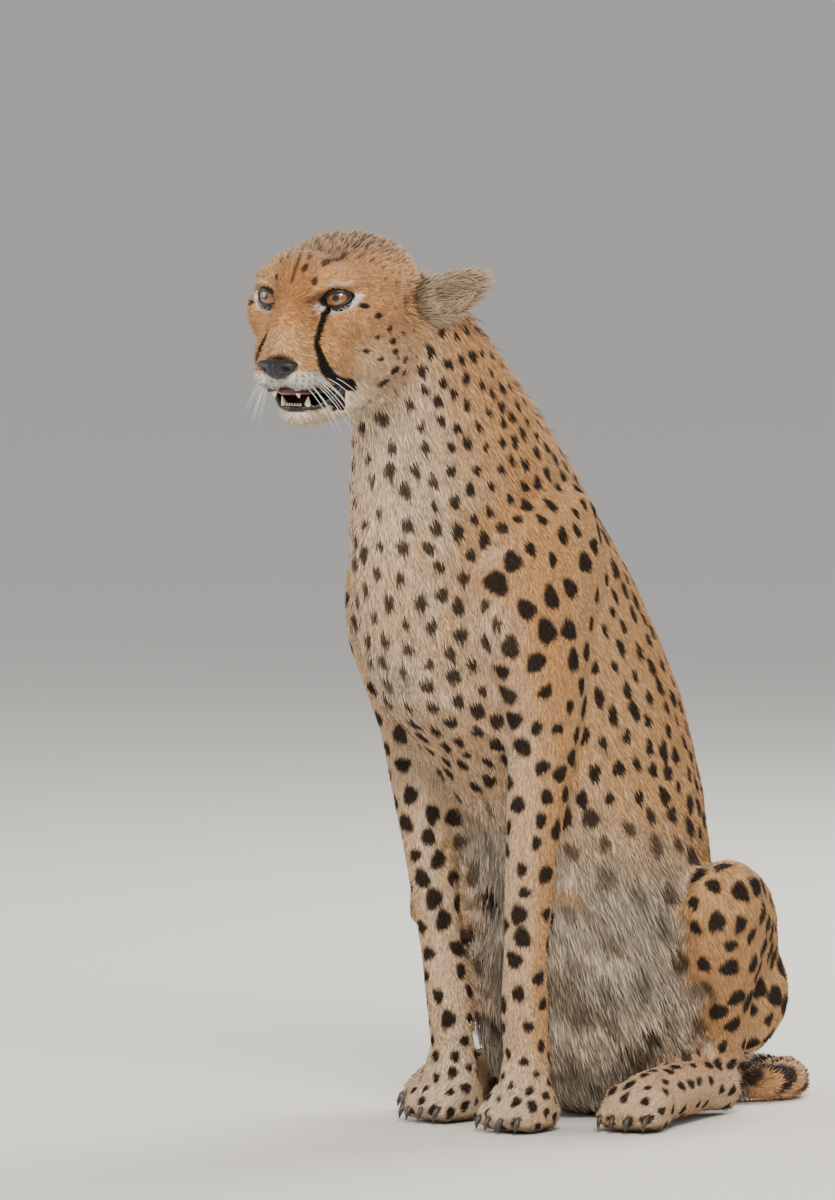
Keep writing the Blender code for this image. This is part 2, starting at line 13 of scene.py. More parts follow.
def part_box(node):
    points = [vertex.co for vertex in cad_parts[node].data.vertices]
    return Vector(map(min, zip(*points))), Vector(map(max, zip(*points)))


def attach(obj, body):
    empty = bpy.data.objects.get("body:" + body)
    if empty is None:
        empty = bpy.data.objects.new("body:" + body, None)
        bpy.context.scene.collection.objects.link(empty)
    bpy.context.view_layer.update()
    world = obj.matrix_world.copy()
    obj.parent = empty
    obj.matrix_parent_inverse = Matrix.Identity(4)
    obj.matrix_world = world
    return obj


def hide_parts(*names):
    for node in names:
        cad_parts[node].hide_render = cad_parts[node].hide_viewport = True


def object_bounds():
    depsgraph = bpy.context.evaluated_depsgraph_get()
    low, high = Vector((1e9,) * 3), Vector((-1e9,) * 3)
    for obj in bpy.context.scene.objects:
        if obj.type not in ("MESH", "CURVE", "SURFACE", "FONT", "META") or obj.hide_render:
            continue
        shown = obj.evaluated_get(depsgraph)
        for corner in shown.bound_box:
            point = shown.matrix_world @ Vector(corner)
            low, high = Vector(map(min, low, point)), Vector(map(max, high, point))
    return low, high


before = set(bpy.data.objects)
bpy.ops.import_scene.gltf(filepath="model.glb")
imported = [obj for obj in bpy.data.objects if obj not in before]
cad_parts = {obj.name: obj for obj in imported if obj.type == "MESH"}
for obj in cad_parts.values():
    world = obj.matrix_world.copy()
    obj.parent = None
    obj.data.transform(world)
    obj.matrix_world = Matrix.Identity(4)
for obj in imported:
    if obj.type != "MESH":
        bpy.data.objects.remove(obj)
box_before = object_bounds()
rng = np.random.default_rng(7)

# ---- places -------------------------------------------------------------------------
# The head's own axes stand on the two eyes of the frame: x to the animal's left, y back,
# z up, from the point between the irises. BODY is the floor point between the forefeet.
FLESH = [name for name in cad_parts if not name.startswith(("eye", "nose", "ear"))]
EYE_SET_BACK = 0.008
EYE_HEIGHT = 0.839
EYE_AHEAD = 0.272
EYE_LEFTWARD = 0.030


def middle(node):
    low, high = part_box(node)
    return (Vector(low) + Vector(high)) / 2


ACROSS = (middle("eye_left") - middle("eye_right")).normalized()
UP = Vector((0, 0, 1))
BACK = UP.cross(ACROSS)
HEAD = (middle("eye_left") + middle("eye_right")) / 2 - BACK * EYE_SET_BACK
HEAD_AXES = np.array([ACROSS, BACK, UP])
HEAD_NP = np.array(HEAD)
BODY = HEAD - Vector((EYE_LEFTWARD, -EYE_AHEAD, EYE_HEIGHT))
BODY_NP = np.array(BODY)
HEAD_MATRIX = Matrix.Translation(HEAD) @ Matrix((ACROSS, BACK, UP)).transposed().to_4x4()


def to_head(points):
    return (points - HEAD_NP) @ HEAD_AXES.T


def from_head(points):
    return np.asarray(points) @ HEAD_AXES + HEAD_NP


# ---- small helpers ------------------------------------------------------------------
def ramp(values, low, high):
    """0 below low, 1 above high, smooth between. low may be above high."""
    t = np.clip((values - low) / (high - low), 0.0, 1.0)
    return t * t * (3 - 2 * t)


def bump(points, centre, radii):
    """A Gaussian of 1 at the centre, in the axes of the points."""
    d = (points - np.array(centre)) / np.array(radii)
    return np.exp(-np.sum(d * d, axis=1))


def unit(vectors):
    return vectors / np.maximum(np.linalg.norm(vectors, axis=1, keepdims=True), 1e-9)


def waves(points, scale, seed):
    """Cheap smooth noise from -1 to 1 made of a few turned sine waves."""
    turn = np.random.default_rng(seed)
    total = np.zeros(len(points))
    for _ in range(6):
        way = turn.normal(size=3)
        way /= np.linalg.norm(way)
        total += np.sin(points @ way * (6.28 / scale) * turn.uniform(0.6, 1.6) + turn.uniform(0, 6.28))
    return total / 3.2


def coordinates(mesh):
    out = np.empty(len(mesh.vertices) * 3, np.float32)
    mesh.vertices.foreach_get("co", out)
    return out.reshape(-1, 3).astype(np.float64)


def set_coordinates(mesh, points):
    mesh.vertices.foreach_set("co", points.astype(np.float32).ravel())
    mesh.update()


def normals(mesh):
    out = np.empty(len(mesh.vertices) * 3, np.float32)
    mesh.vertex_normals.foreach_get("vector", out)
    return out.reshape(-1, 3).astype(np.float64)


def add_piece(name, mesh, material=None):
    thing = bpy.data.objects.new(name, mesh)
    bpy.context.scene.collection.objects.link(thing)
    if material:
        mesh.materials.append(material)
    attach(thing, "root")
    return thing


def mesh_from(name, points, faces):
    mesh = bpy.data.meshes.new(name)
    mesh.from_pydata([tuple(p) for p in points], [], faces)
    mesh.update()
    return mesh


def applied(thing):
    """The mesh of a thing with its modifiers carried out."""
    depsgraph = bpy.context.evaluated_depsgraph_get()
    return bpy.data.meshes.new_from_object(thing.evaluated_get(depsgraph))


def shade_smooth(mesh):
    mesh.polygons.foreach_set("use_smooth", np.ones(len(mesh.polygons), bool))
    mesh.update()


def paint(mesh, colours, name="Coat"):
    layer = mesh.color_attributes.new(name, "FLOAT_COLOR", "POINT")
    rgba = np.ones((len(colours), 4), np.float32)
    rgba[:, :3] = colours
    layer.data.foreach_set("color", rgba.ravel())


# ---- materials ----------------------------------------------------------------------
def principled(name, colour=(0.5, 0.5, 0.5), roughness=0.5, **sockets):
    made = bpy.data.materials.new(name)
    made.use_nodes = True
    shader = made.node_tree.nodes["Principled BSDF"]
    shader.inputs["Base Color"].default_value = (*colour, 1.0)
    shader.inputs["Roughness"].default_value = roughness
    for socket, value in sockets.items():
        shader.inputs[socket.replace("_", " ")].default_value = value
    return made, made.node_tree, shader


def node(tree, kind, **values):
    made = tree.nodes.new(kind)
    for key, value in values.items():
        if key in made.inputs:
            made.inputs[key].default_value = value
        else:
            setattr(made, key, value)
    return made


def stretched_noise(tree, scale, stretch, detail=3.0):
    """Noise in the object's own coordinates, drawn out along z as hair is."""
    place = node(tree, "ShaderNodeTexCoord")
    squeeze = node(tree, "ShaderNodeMapping")
    squeeze.inputs["Scale"].default_value = (1.0, 1.0, 1.0 / stretch)
    noise = node(tree, "ShaderNodeTexNoise", Scale=scale, Detail=detail)
    tree.links.new(place.outputs["Object"], squeeze.inputs["Vector"])
    tree.links.new(squeeze.outputs["Vector"], noise.inputs["Vector"])
    return noise


def coat_material(name, bump_strength, bump_scale, roughness):
    made, tree, shader = principled(name, roughness=roughness, Specular_IOR_Level=0.10)
    shader.inputs["Sheen Weight"].default_value = 0.05
    shader.inputs["Sheen Roughness"].default_value = 0.5
    colour = node(tree, "ShaderNodeAttribute", attribute_name="Coat")
    noise = stretched_noise(tree, bump_scale, 5.0)
    tone = node(tree, "ShaderNodeMapRange")
    tone.inputs["To Min"].default_value = 0.80
    tone.inputs["To Max"].default_value = 1.20
    tree.links.new(noise.outputs["Fac"], tone.inputs["Value"])
    tint = node(tree, "ShaderNodeVectorMath", operation="SCALE")
    tree.links.new(colour.outputs["Color"], tint.inputs[0])
    tree.links.new(tone.outputs["Result"], tint.inputs["Scale"])
    tree.links.new(tint.outputs["Vector"], shader.inputs["Base Color"])
    relief = node(tree, "ShaderNodeBump", Strength=bump_strength, Distance=0.0015)
    tree.links.new(noise.outputs["Fac"], relief.inputs["Height"])
    tree.links.new(relief.outputs["Normal"], shader.inputs["Normal"])
    return made


SKIN_LOOK = coat_material("coat_skin", 0.6, 420.0, 0.85)
TUFT_LOOK = coat_material("coat_tufts", 0.15, 260.0, 0.62)

# ---- skin ---------------------------------------------------------------------------
VOXEL = 0.0038
GROW = 0.0004  # closes the gaps between the solids
SMOOTH_STEPS = 7


def flesh_mesh(names, voxel, steps):
    """One closed surface round the named solids."""
    bm = bmesh.new()
    for name in names:
        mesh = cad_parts[name].data.copy()
        one = bmesh.new()
        one.from_mesh(mesh)
        bmesh.ops.remove_doubles(one, verts=one.verts, dist=1e-6)
        one.normal_update()
        for vert in one.verts:
            vert.co += vert.normal * GROW
        one.to_mesh(mesh)
        one.free()
        bm.from_mesh(mesh)
        bpy.data.meshes.remove(mesh)
    joined = bpy.data.meshes.new("flesh")
    bm.to_mesh(joined)
    bm.free()
    thing = bpy.data.objects.new("flesh", joined)
    bpy.context.scene.collection.objects.link(thing)
    step = thing.modifiers.new("fuse", "REMESH")
    step.mode = "VOXEL"
    step.voxel_size = voxel
    step = thing.modifiers.new("smooth", "SMOOTH")
    step.factor = 0.5
    step.iterations = steps
    mesh = applied(thing)
    bpy.data.objects.remove(thing)
    bm = bmesh.new()
    bm.from_mesh(mesh)
    keep_largest(bm)
    return mesh, bm


def keep_largest(bm):
    left = set(bm.verts)
    pieces = []
    while left:
        piece = set()
        edge = [left.pop()]
        while edge:
            vert = edge.pop()
            piece.add(vert)
            for link in vert.link_edges:
                other = link.other_vert(vert)
                if other in left:
                    left.remove(other)
                    edge.append(other)
        pieces.append(piece)
    pieces.sort(key=len)
    for piece in pieces[:-1]:
        bmesh.ops.delete(bm, geom=list(piece), context="VERTS")


def refine(bm, centre, radius):
    """Splits the faces near a point of the head into four."""
    centre = Vector(from_head(centre))
    edges = [e for e in bm.edges if (e.verts[0].co - centre).length < radius]
    bmesh.ops.subdivide_edges(bm, edges=edges, cuts=1, use_grid_fill=True)


def nearest_nodes(points):
    """For each point the index in NODES of the solid whose surface is nearest."""
    tree = KDTree(sum(len(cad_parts[n].data.vertices) for n in NODES))
    owner = []
    for number, name in enumerate(NODES):
        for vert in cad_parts[name].data.vertices:
            tree.insert(vert.co, len(owner))
            owner.append(number)
    tree.balance()
    return np.array([owner[tree.find(p)[1]] for p in points])


NODES = ["trunk", "neck", "head", "jaw", "foreleg_left", "foreleg_right", "hindleg_left",
         "hindleg_right", "tail_1", "tail_2", "tail_3"]  # fmt: skip
TRUNK, NECK, SKULL, JAW, FORE_L, FORE_R, HIND_L, HIND_R, TAIL_1, TAIL_2, TAIL_3 = range(len(NODES))

# Coat by part: length, how far the tips stand off the skin, the tuft's width.
COAT = {
    TRUNK: (0.0095, 0.0034, 0.0012),
    NECK: (0.0110, 0.0042, 0.0013),
    SKULL: (0.0060, 0.0020, 0.0008),
    JAW: (0.0060, 0.0020, 0.0008),
    FORE_L: (0.0066, 0.0021, 0.0010),
    FORE_R: (0.0066, 0.0021, 0.0010),
    HIND_L: (0.0074, 0.0024, 0.0011),
    HIND_R: (0.0074, 0.0024, 0.0011),
    TAIL_1: (0.0095, 0.0032, 0.0013),
    TAIL_2: (0.0160, 0.0060, 0.0020),
    TAIL_3: (0.0220, 0.0085, 0.0024),
}


class Field:
    """What the coat is like at each vertex of the skin."""

    def __init__(self, mesh):
        self.points = coordinates(mesh)
        self.normals = normals(mesh)
        self.owner = nearest_nodes(self.points)
        edges = np.empty(len(mesh.edges) * 2, np.int32)
        mesh.edges.foreach_get("vertices", edges)
        self.edges = edges.reshape(-1, 2)
        self.body = self.points - BODY_NP
        self.head = to_head(self.points)

    def spread(self, values, steps):
        """Averages values over neighbours again and again."""
        a, b = self.edges.T
        count = len(self.points)
        values = values.astype(np.float64)
        columns = values.reshape(count, -1)
        degree = np.bincount(a, minlength=count) + np.bincount(b, minlength=count)
        for _ in range(steps):
            for c in range(columns.shape[1]):
                total = np.bincount(a, columns[b, c], count) + np.bincount(b, columns[a, c], count)
                columns[:, c] = (columns[:, c] + total) / (1 + degree)
        return columns.reshape(values.shape)

    def is_part(self, *parts):
        return np.isin(self.owner, parts)

    def coat(self):
        """Length, stand-off, width and lift (radians) of the coat."""
        table = np.array([COAT[k] for k in range(len(NODES))])
        rows = table[self.owner].copy()
        lift = np.where(self.is_part(SKULL, JAW), math.radians(21), math.radians(14))
        x, y, z = self.body.T
        hx, hy, hz = self.head.T
        trunk = self.is_part(TRUNK)
        forward = -self.normals[:, 1]
        belly = trunk * ramp(z, 0.33, 0.22) * ramp(forward + 0.4 * np.abs(self.normals[:, 0]), -0.1, 0.5)
        belly = np.maximum(belly, trunk * ramp(z, 0.52, 0.42) * ramp(forward, 0.75, 0.95))
        belly = np.maximum(belly, trunk * ramp(z, 0.14, 0.05) * ramp(y, 0.20, 0.12))
        chest = self.is_part(TRUNK, NECK) * ramp(-self.normals[:, 1], 0.2, 0.8) * ramp(z, 0.36, 0.48)
        back = self.normals[:, 1] * 0.8 + self.normals[:, 2] * 0.6
        nape = self.is_part(NECK, SKULL) * ramp(back, 0.55, 0.9) * ramp(hy, 0.075, 0.13)
        nape = np.maximum(nape, trunk * ramp(back, 0.6, 0.95) * ramp(z, 0.56, 0.66) * 0.7)
        crown = self.is_part(SKULL) * ramp(hz, 0.020, 0.045) * ramp(hy, -0.01, 0.04)
        side = self.is_part(SKULL, JAW) * ramp(hy, 0.045, 0.10) * (1 - crown)
        for weight, length, stand, width, angle in (
            (belly, 0.028, 0.0085, 0.0015, 20),
            (chest, 0.015, 0.0050, 0.0014, 15),
            (nape, 0.022, 0.0095, 0.0017, 38),
            (crown, 0.012, 0.0062, 0.0011, 36),
            (side, 0.0105, 0.0036, 0.0011, 22),
        ):
            for column, value in enumerate((length, stand, width)):
                rows[:, column] += (value - rows[:, column]) * weight
            lift += (math.radians(angle) - lift) * weight
        paws = self.is_part(FORE_L, FORE_R, HIND_L, HIND_R) * ramp(z, 0.075, 0.035)
        rows[:, 0] += (0.0065 - rows[:, 0]) * paws
        rows[:, 1] += (0.0016 - rows[:, 1]) * paws
        rows[:, 2] += (0.0011 - rows[:, 2]) * paws
        out = self.spread(np.column_stack([rows, lift]), 5)
        self.belly = self.spread(belly, 4)
        self.chest = self.spread(chest, 4)
        self.nape = self.spread(nape, 3)
        self.crown = self.spread(crown, 3)
        return out.T

    def lie(self):
        """Which way the coat lies, along the skin."""
        way = np.zeros_like(self.points)
        x, y, z = self.body.T
        hx, hy, hz = self.head.T
        way[self.is_part(TRUNK, NECK)] = (0.0, 0.38, -0.92)
        for part, leftward in ((FORE_L, 0.05), (FORE_R, -0.05)):
            mask = self.owner == part
            way[mask] = (0.0, 0.10, -1.0)
            way[mask & (z < 0.050)] = (leftward, -1.0, -0.35)
        for part, leftward in ((HIND_L, 0.28), (HIND_R, -0.22)):
            mask = self.owner == part
            way[mask] = (0.0, 0.40, -0.90)
            way[mask & (z < 0.070)] = (leftward, -1.0, -0.15)
        tail = self.is_part(TAIL_1, TAIL_2, TAIL_3)
        spoke = self.body - np.array((-0.08, 0.30, 0.0))
        way[tail] = np.column_stack([-spoke[:, 1], spoke[:, 0], np.zeros(len(x))])[tail]
        face = self.is_part(SKULL, JAW)
        sides = np.clip(hx / 0.03, -1, 1)
        rise = np.clip(hz / 0.05, -0.7, 0.7)
        local = np.column_stack([0.30 * sides, np.ones(len(x)), rise])
        local[:, 2] -= 0.35 * ramp(hy, 0.03, 0.10) * ramp(hz, 0.01, -0.03)
        way[face] = (local @ HEAD_AXES)[face]
        way = self.spread(unit(way), 8)
        way -= self.normals * np.sum(way * self.normals, axis=1, keepdims=True)
        return unit(way)


# ---- eyes' opening ------------------------------------------------------------------
EYE_BALL = 0.0150
LID_THICK = 0.0012
LID_OUT = 0.0135  # half width towards the outer corner
LID_IN = 0.0150  # half width towards the nose
LID_UP = 0.0062
LID_DOWN = 0.0080
LID_TILT = math.radians(11)  # the outer corner is higher


def eye_axes(side):
    """The eyeball's centre and its axes: outward along the lids, up, and ahead (the gaze)."""
    centre = middle("eye_left" if side > 0 else "eye_right")
    ahead = HEAD_MATRIX.to_3x3() @ Vector((0.20 * side, -1.0, 0.03)).normalized()
    outward = ahead.cross(UP).normalized() * (-side)
    outward = -outward if outward.dot(ACROSS * side) < 0 else outward
    upward = UP - ahead * UP.dot(ahead)
    upward.normalize()
    turn_out = outward * math.cos(LID_TILT) + upward * math.sin(LID_TILT)
    turn_up = upward * math.cos(LID_TILT) - outward * math.sin(LID_TILT)
    return centre, turn_out, turn_up, ahead


def lid_edge(angle):
    """How far the lids' edge is from the gaze axis, by angle from the outward way."""
    c, s = np.cos(angle), np.sin(angle)
    wide = np.where(c > 0, LID_OUT, LID_IN)
    high = np.where(s > 0, LID_UP, LID_DOWN)
    power = 1.75
    return (np.abs(c / wide) ** power + np.abs(s / high) ** power) ** (-1 / power)


def shape_lids(points):
    """Draws the skin in to the eyeballs, with an almond opening between the lids."""
    for side in (1, -1):
        centre, out, up, ahead = (np.array(v) for v in eye_axes(side))
        local = points - centre
        u, v, w = local @ out, local @ up, local @ ahead
        angle = np.arctan2(v, u)
        reach = np.hypot(u, v)
        s = reach / lid_edge(angle)
        near = (w > -0.012) & (s < 3.0) & (np.linalg.norm(local, axis=1) < 0.045)
        surface = np.sqrt(np.maximum((EYE_BALL + LID_THICK) ** 2 - np.minimum(reach, EYE_BALL) ** 2, 1e-9))
        blend = ramp(s, 2.1, 1.15)
        target = w + (surface - w) * blend
        inside = EYE_BALL * 0.55
        target = np.where(s < 1.0, inside, target)
        w_new = np.where(near, target, w)
        points += np.outer(w_new - w, ahead)
    return points


# ---- face marks, in the head's axes -------------------------------------------------
# The black line from the inner corner of each eye to the mouth, on the animal's left.
TEAR_LINE = ((0.0300, -0.012), (0.0275, -0.026), (0.0300, -0.042), (0.0355, -0.056), (0.0385, -0.068),
             (0.0400, -0.082))  # fmt: skip
TEAR_WIDTH = (0.0036, 0.0027, 0.0029, 0.0034, 0.0040, 0.0044)
FACE_SPOTS = (
    (0.010, 0.030, 0.0030), (0.026, 0.036, 0.0035), (-0.024, 0.038, 0.0030), (0.022, 0.017, 0.0028),
    (-0.022, 0.020, 0.0024),
)  # fmt: skip
# Larger spots on the cheek: back from the eyes, up, radius.
CHEEK_SPOTS = (
    (0.028, -0.007, 0.0026), (0.040, -0.017, 0.0030), (0.058, -0.030, 0.0032), (0.066, -0.043, 0.0034),
    (0.068, -0.053, 0.0030), (0.086, -0.062, 0.0034), (0.074, -0.072, 0.0040), (0.070, -0.084, 0.0038),
    (0.104, -0.100, 0.0060), (0.046, -0.038, 0.0020), (0.052, -0.060, 0.0022), (0.040, -0.052, 0.0018),
    (0.084, -0.036, 0.0026), (0.096, -0.076, 0.0036),
)  # fmt: skip


def tear_mask(head):
    """1 on the tear lines. The lines are known by x and z, on the front of the face."""
    x = np.abs(head[:, 0])
    z = head[:, 2]
    line = np.array(TEAR_LINE)[::-1]
    width = np.array(TEAR_WIDTH)[::-1]
    middle_x = np.interp(z, line[:, 1], line[:, 0])
    half = np.interp(z, line[:, 1], width)
    inside = ramp(np.abs(x - middle_x) / half, 1.15, 0.75)
    return inside * (z < line[-1, 1] + 0.004) * (z > -0.092) * (head[:, 1] < 0.035)


def eye_masks(points):
    """Black round the opening of each eye and white beyond it, below."""
    dark = np.zeros(len(points))
    pale = np.zeros(len(points))
    for side in (1, -1):
        centre, out, up, ahead = (np.array(v) for v in eye_axes(side))
        local = points - centre
        u, v, w = local @ out, local @ up, local @ ahead
        s = np.hypot(u, v) / lid_edge(np.arctan2(v, u))
        near = w > -0.010
        dark = np.maximum(dark, near * ramp(s, 1.42, 1.25))
        below = ramp(v, 0.004, -0.004)
        above = ramp(v, 0.010, 0.014) * ramp(u, -0.010, 0.0) * 0.5
        pale = np.maximum(pale, near * below * ramp(s, 2.10, 1.6) * ramp(u, -0.030, -0.012))
        pale = np.maximum(pale, near * above * ramp(s, 3.2, 2.2) * 0.75)
    return dark, pale


# Linear colours.
BUFF = np.array((0.66, 0.405, 0.205))
TAWNY = np.array((0.58, 0.295, 0.105))
RUST = np.array((0.38, 0.140, 0.040))
CREAM = np.array((0.80, 0.645, 0.48))
GREY = np.array((0.50, 0.415, 0.32))
BELLY_DARK = np.array((0.20, 0.135, 0.085))
WHITE = np.array((0.80, 0.77, 0.72))
BLACK = np.array((0.012, 0.010, 0.009))


def mix(base, colour, weight):
    return base + (np.asarray(colour) - base) * np.clip(weight, 0, 1)[:, None]


def ground_colour(points, normal, owner, belly, chest):
    """The coat's colour with no spots."""
    body = points - BODY_NP
    head = to_head(points)
    x, y, z = body.T
    hx, hy, hz = head.T
    face = np.isin(owner, (SKULL, JAW))
    out = np.tile(BUFF, (len(points), 1))
    wide = waves(points, 0.22, 3)
    out = mix(out, TAWNY, 0.30 + 0.25 * wide + 0.25 * ramp(normal[:, 1], 0.1, 0.9))
    out = mix(out, CREAM, 0.55 * chest * (0.75 + 0.35 * waves(points, 0.05, 4)))
    under = np.isin(owner, (TRUNK, FORE_L, FORE_R)) * ramp(-normal[:, 1], 0.1, 0.7) * ramp(z, 0.62, 0.40)
    out = mix(out, CREAM, 0.40 * under)
    inner = np.isin(owner, (FORE_L,)) * ramp(-normal[:, 0], 0.1, 0.7) + np.isin(owner, (FORE_R,)) * ramp(
        normal[:, 0], 0.1, 0.7
    )
    out = mix(out, CREAM, 0.45 * inner)
    out = mix(out, GREY, belly)
    # Darker patches on the belly, more of them lower down towards the floor.
    out = mix(out, BELLY_DARK, 0.70 * belly * ramp(waves(points, 0.07, 5), 0.0, 0.7) * ramp(z, 0.55, 0.10))
    out = mix(out, CREAM, 0.60 * belly * ramp(waves(points, 0.11, 9), 0.2, 0.8))
    paws = np.isin(owner, (FORE_L, FORE_R, HIND_L, HIND_R)) * ramp(z, 0.09, 0.03)
    out = mix(out, CREAM, 0.45 * paws)
    tail = np.isin(owner, (TAIL_2, TAIL_3))
    out = mix(out, GREY, 0.6 * tail)
    # head
    front = face * ramp(hy, 0.10, 0.02)
    out = mix(out, TAWNY, 0.62 * face)
    bridge = front * ramp(np.abs(hx), 0.026, 0.012) * ramp(hz, -0.045, 0.0) * ramp(hz, 0.055, 0.03)
    out = mix(out, RUST, 0.45 * bridge)
    out = mix(out, RUST, 0.35 * front * ramp(np.abs(hx), 0.030, 0.016) * bump(head, (0, -0.01, 0.005), (9, 9, 0.016)))
    muzzle_top = front * ramp(np.abs(hx), 0.030, 0.018) * ramp(hz, -0.020, -0.040) * ramp(hz, -0.075, -0.060)
    out = mix(out, BUFF * 1.05, 0.75 * muzzle_top)
    cheek = face * ramp(hz, -0.015, -0.070) * ramp(hy, -0.01, 0.03)
    out = mix(out, CREAM, 0.45 * cheek)
    lips = face * ramp(hz, -0.066, -0.076) * ramp(hy, 0.0, -0.020)
    out = mix(out, WHITE, 0.90 * lips)
    out = mix(out, CREAM * 0.95, face * ramp(hz, -0.088, -0.100) * 0.9)
    back = face * ramp(hy, 0.07, 0.13)
    out = mix(out, BUFF, 0.6 * back)
    throat = np.isin(owner, (NECK, JAW)) * ramp(-normal[:, 1], -0.1, 0.6)
    out = mix(out, CREAM, 0.45 * throat)
    crown = face * ramp(hz, 0.030, 0.050)
    out = mix(out, np.array((0.34, 0.25, 0.17)), 0.55 * crown)
    dark, pale = eye_masks(points)
    out = mix(out, WHITE, face * pale)
    out = mix(out, BLACK, face * np.maximum(dark, tear_mask(head)))
    return out


# ---- spots --------------------------------------------------------------------------
class Spots:
    """Spots scattered evenly over the skin, longer along the lie of the coat."""

    def __init__(self, field, lie):
        x, y, z = field.body.T
        hx, hy, hz = field.head.T
        half = np.full(len(x), 0.0057)
        space = np.full(len(x), 0.0180)
        stretch = np.full(len(x), 1.35)
        softness = np.full(len(x), 0.16)
        strength = np.ones(len(x))

        def region(weight, size, gap, long, soft=None, strong=None):
            half[:] += (size - half) * weight
            space[:] += (gap - space) * weight
            stretch[:] += (long - stretch) * weight
            if soft is not None:
                softness[:] += (soft - softness) * weight
            if strong is not None:
                strength[:] += (strong - strength) * weight

        trunk = field.is_part(TRUNK)
        region(trunk * ramp(z, 0.62, 0.45), 0.0062, 0.0205, 1.45)
        region(trunk * ramp(z, 0.34, 0.22), 0.0075, 0.0230, 1.5)
        region(field.is_part(NECK) * 1.0, 0.0050, 0.0165, 1.2)
        region(field.is_part(FORE_L, FORE_R) * 1.0, 0.0078, 0.0230, 1.1)
        region(field.is_part(FORE_L, FORE_R) * ramp(z, 0.40, 0.50), 0.0100, 0.0290, 1.1)
        region(field.is_part(FORE_L, FORE_R) * ramp(z, 0.56, 0.62), 0.0060, 0.0195, 1.2)
        region(field.is_part(FORE_L, FORE_R) * ramp(z, 0.13, 0.06), 0.0050, 0.0165, 1.1)
        region(field.is_part(HIND_L, HIND_R) * 1.0, 0.0092, 0.0235, 1.08)
        region(field.is_part(HIND_L, HIND_R) * ramp(z, 0.10, 0.05), 0.0050, 0.0180, 1.5)
        region(field.belly, 0.0085, 0.0380, 1.6, 0.45, 0.5)
        region(field.chest * 0.9, 0.0062, 0.0225, 1.15, 0.22, 0.92)
        face = field.is_part(SKULL, JAW) * 1.0
        region(face, 0.0019, 0.0110, 1.3, 0.35, 0.75)
        region(face * ramp(hz, 0.030, 0.048), 0.0024, 0.0085, 1.6, 0.4, 0.8)
        blank = face * ramp(hy, 0.048, 0.030) * ramp(hz, 0.042, 0.030)
        strength *= 1 - blank
        strength *= 1 - 0.6 * face * ramp(hy, 0.11, 0.13)
        strength[field.is_part(TAIL_1, TAIL_2, TAIL_3)] = 0.0
        keep = np.where(strength > 0.05)[0]
        order = rng.permutation(keep)
        cell = 0.045
        taken = {}
        chosen = []
        for i in order:
            p = field.points[i]
            key = tuple((p // cell).astype(int))
            gap = space[i]
            near = False
            for dx in (-1, 0, 1):
                for dy in (-1, 0, 1):
                    for dz in (-1, 0, 1):
                        for q, other in taken.get((key[0] + dx, key[1] + dy, key[2] + dz), ()):
                            need = (gap + other) / 2
                            if (q[0] - p[0]) ** 2 + (q[1] - p[1]) ** 2 + (q[2] - p[2]) ** 2 < need * need:
                                near = True
                                break
                        if near:
                            break
                    if near:
                        break
                if near:
                    break
            if near:
                continue
            taken.setdefault(key, []).append((p, gap))
            chosen.append(i)
        chosen = np.array(chosen)
        self.centres = field.points[chosen]
        self.long_way = lie[chosen]
        self.wide_way = np.cross(lie[chosen], field.normals[chosen])
        size = rng.uniform(0.72, 1.25, len(chosen))
        self.long = half[chosen] * stretch[chosen] * size
        self.wide = half[chosen] * size
        self.soft = softness[chosen]
        self.strong = strength[chosen]
        self.phase = rng.uniform(0, 6.28, len(chosen))
        self.tree = KDTree(len(chosen))
        for number, centre in enumerate(self.centres):
            self.tree.insert(centre, number)
        self.tree.balance()

    def mask(self, points):
        out = np.zeros(len(points))
        found = np.array([[hit[1] for hit in self.tree.find_n(p, 3)] for p in points])
        for column in range(3):
            k = found[:, column]
            d = points - self.centres[k]
            a = np.sum(d * self.long_way[k], axis=1) / self.long[k]
            b = np.sum(d * self.wide_way[k], axis=1) / self.wide[k]
            turn = np.arctan2(b, a) + self.phase[k]
            edge = 1 + 0.10 * np.sin(2 * turn) + 0.09 * np.sin(3 * turn + 1.3) + 0.05 * np.sin(5 * turn)
            r = np.hypot(a, b) / edge
            soft = self.soft[k]
            out = np.maximum(out, self.strong[k] * ramp(r, 1 + soft, 1 - soft))
        return out


def tail_bars(points, owner):
    """Black bars across the tail; no white tip is made."""
    body = points - BODY_NP
    spoke = body - np.array((-0.08, 0.30, 0.0))
    turn = np.arctan2(spoke[:, 1], spoke[:, 0])
    along = turn * 0.14 + 0.010 * waves(points, 0.06, 8)
    bars = ramp(np.sin(along * 6.28 / 0.030), 0.10, 0.45)
    upper = ramp(body[:, 2], 0.002, 0.012)
    return bars * upper * np.isin(owner, (TAIL_1, TAIL_2, TAIL_3))


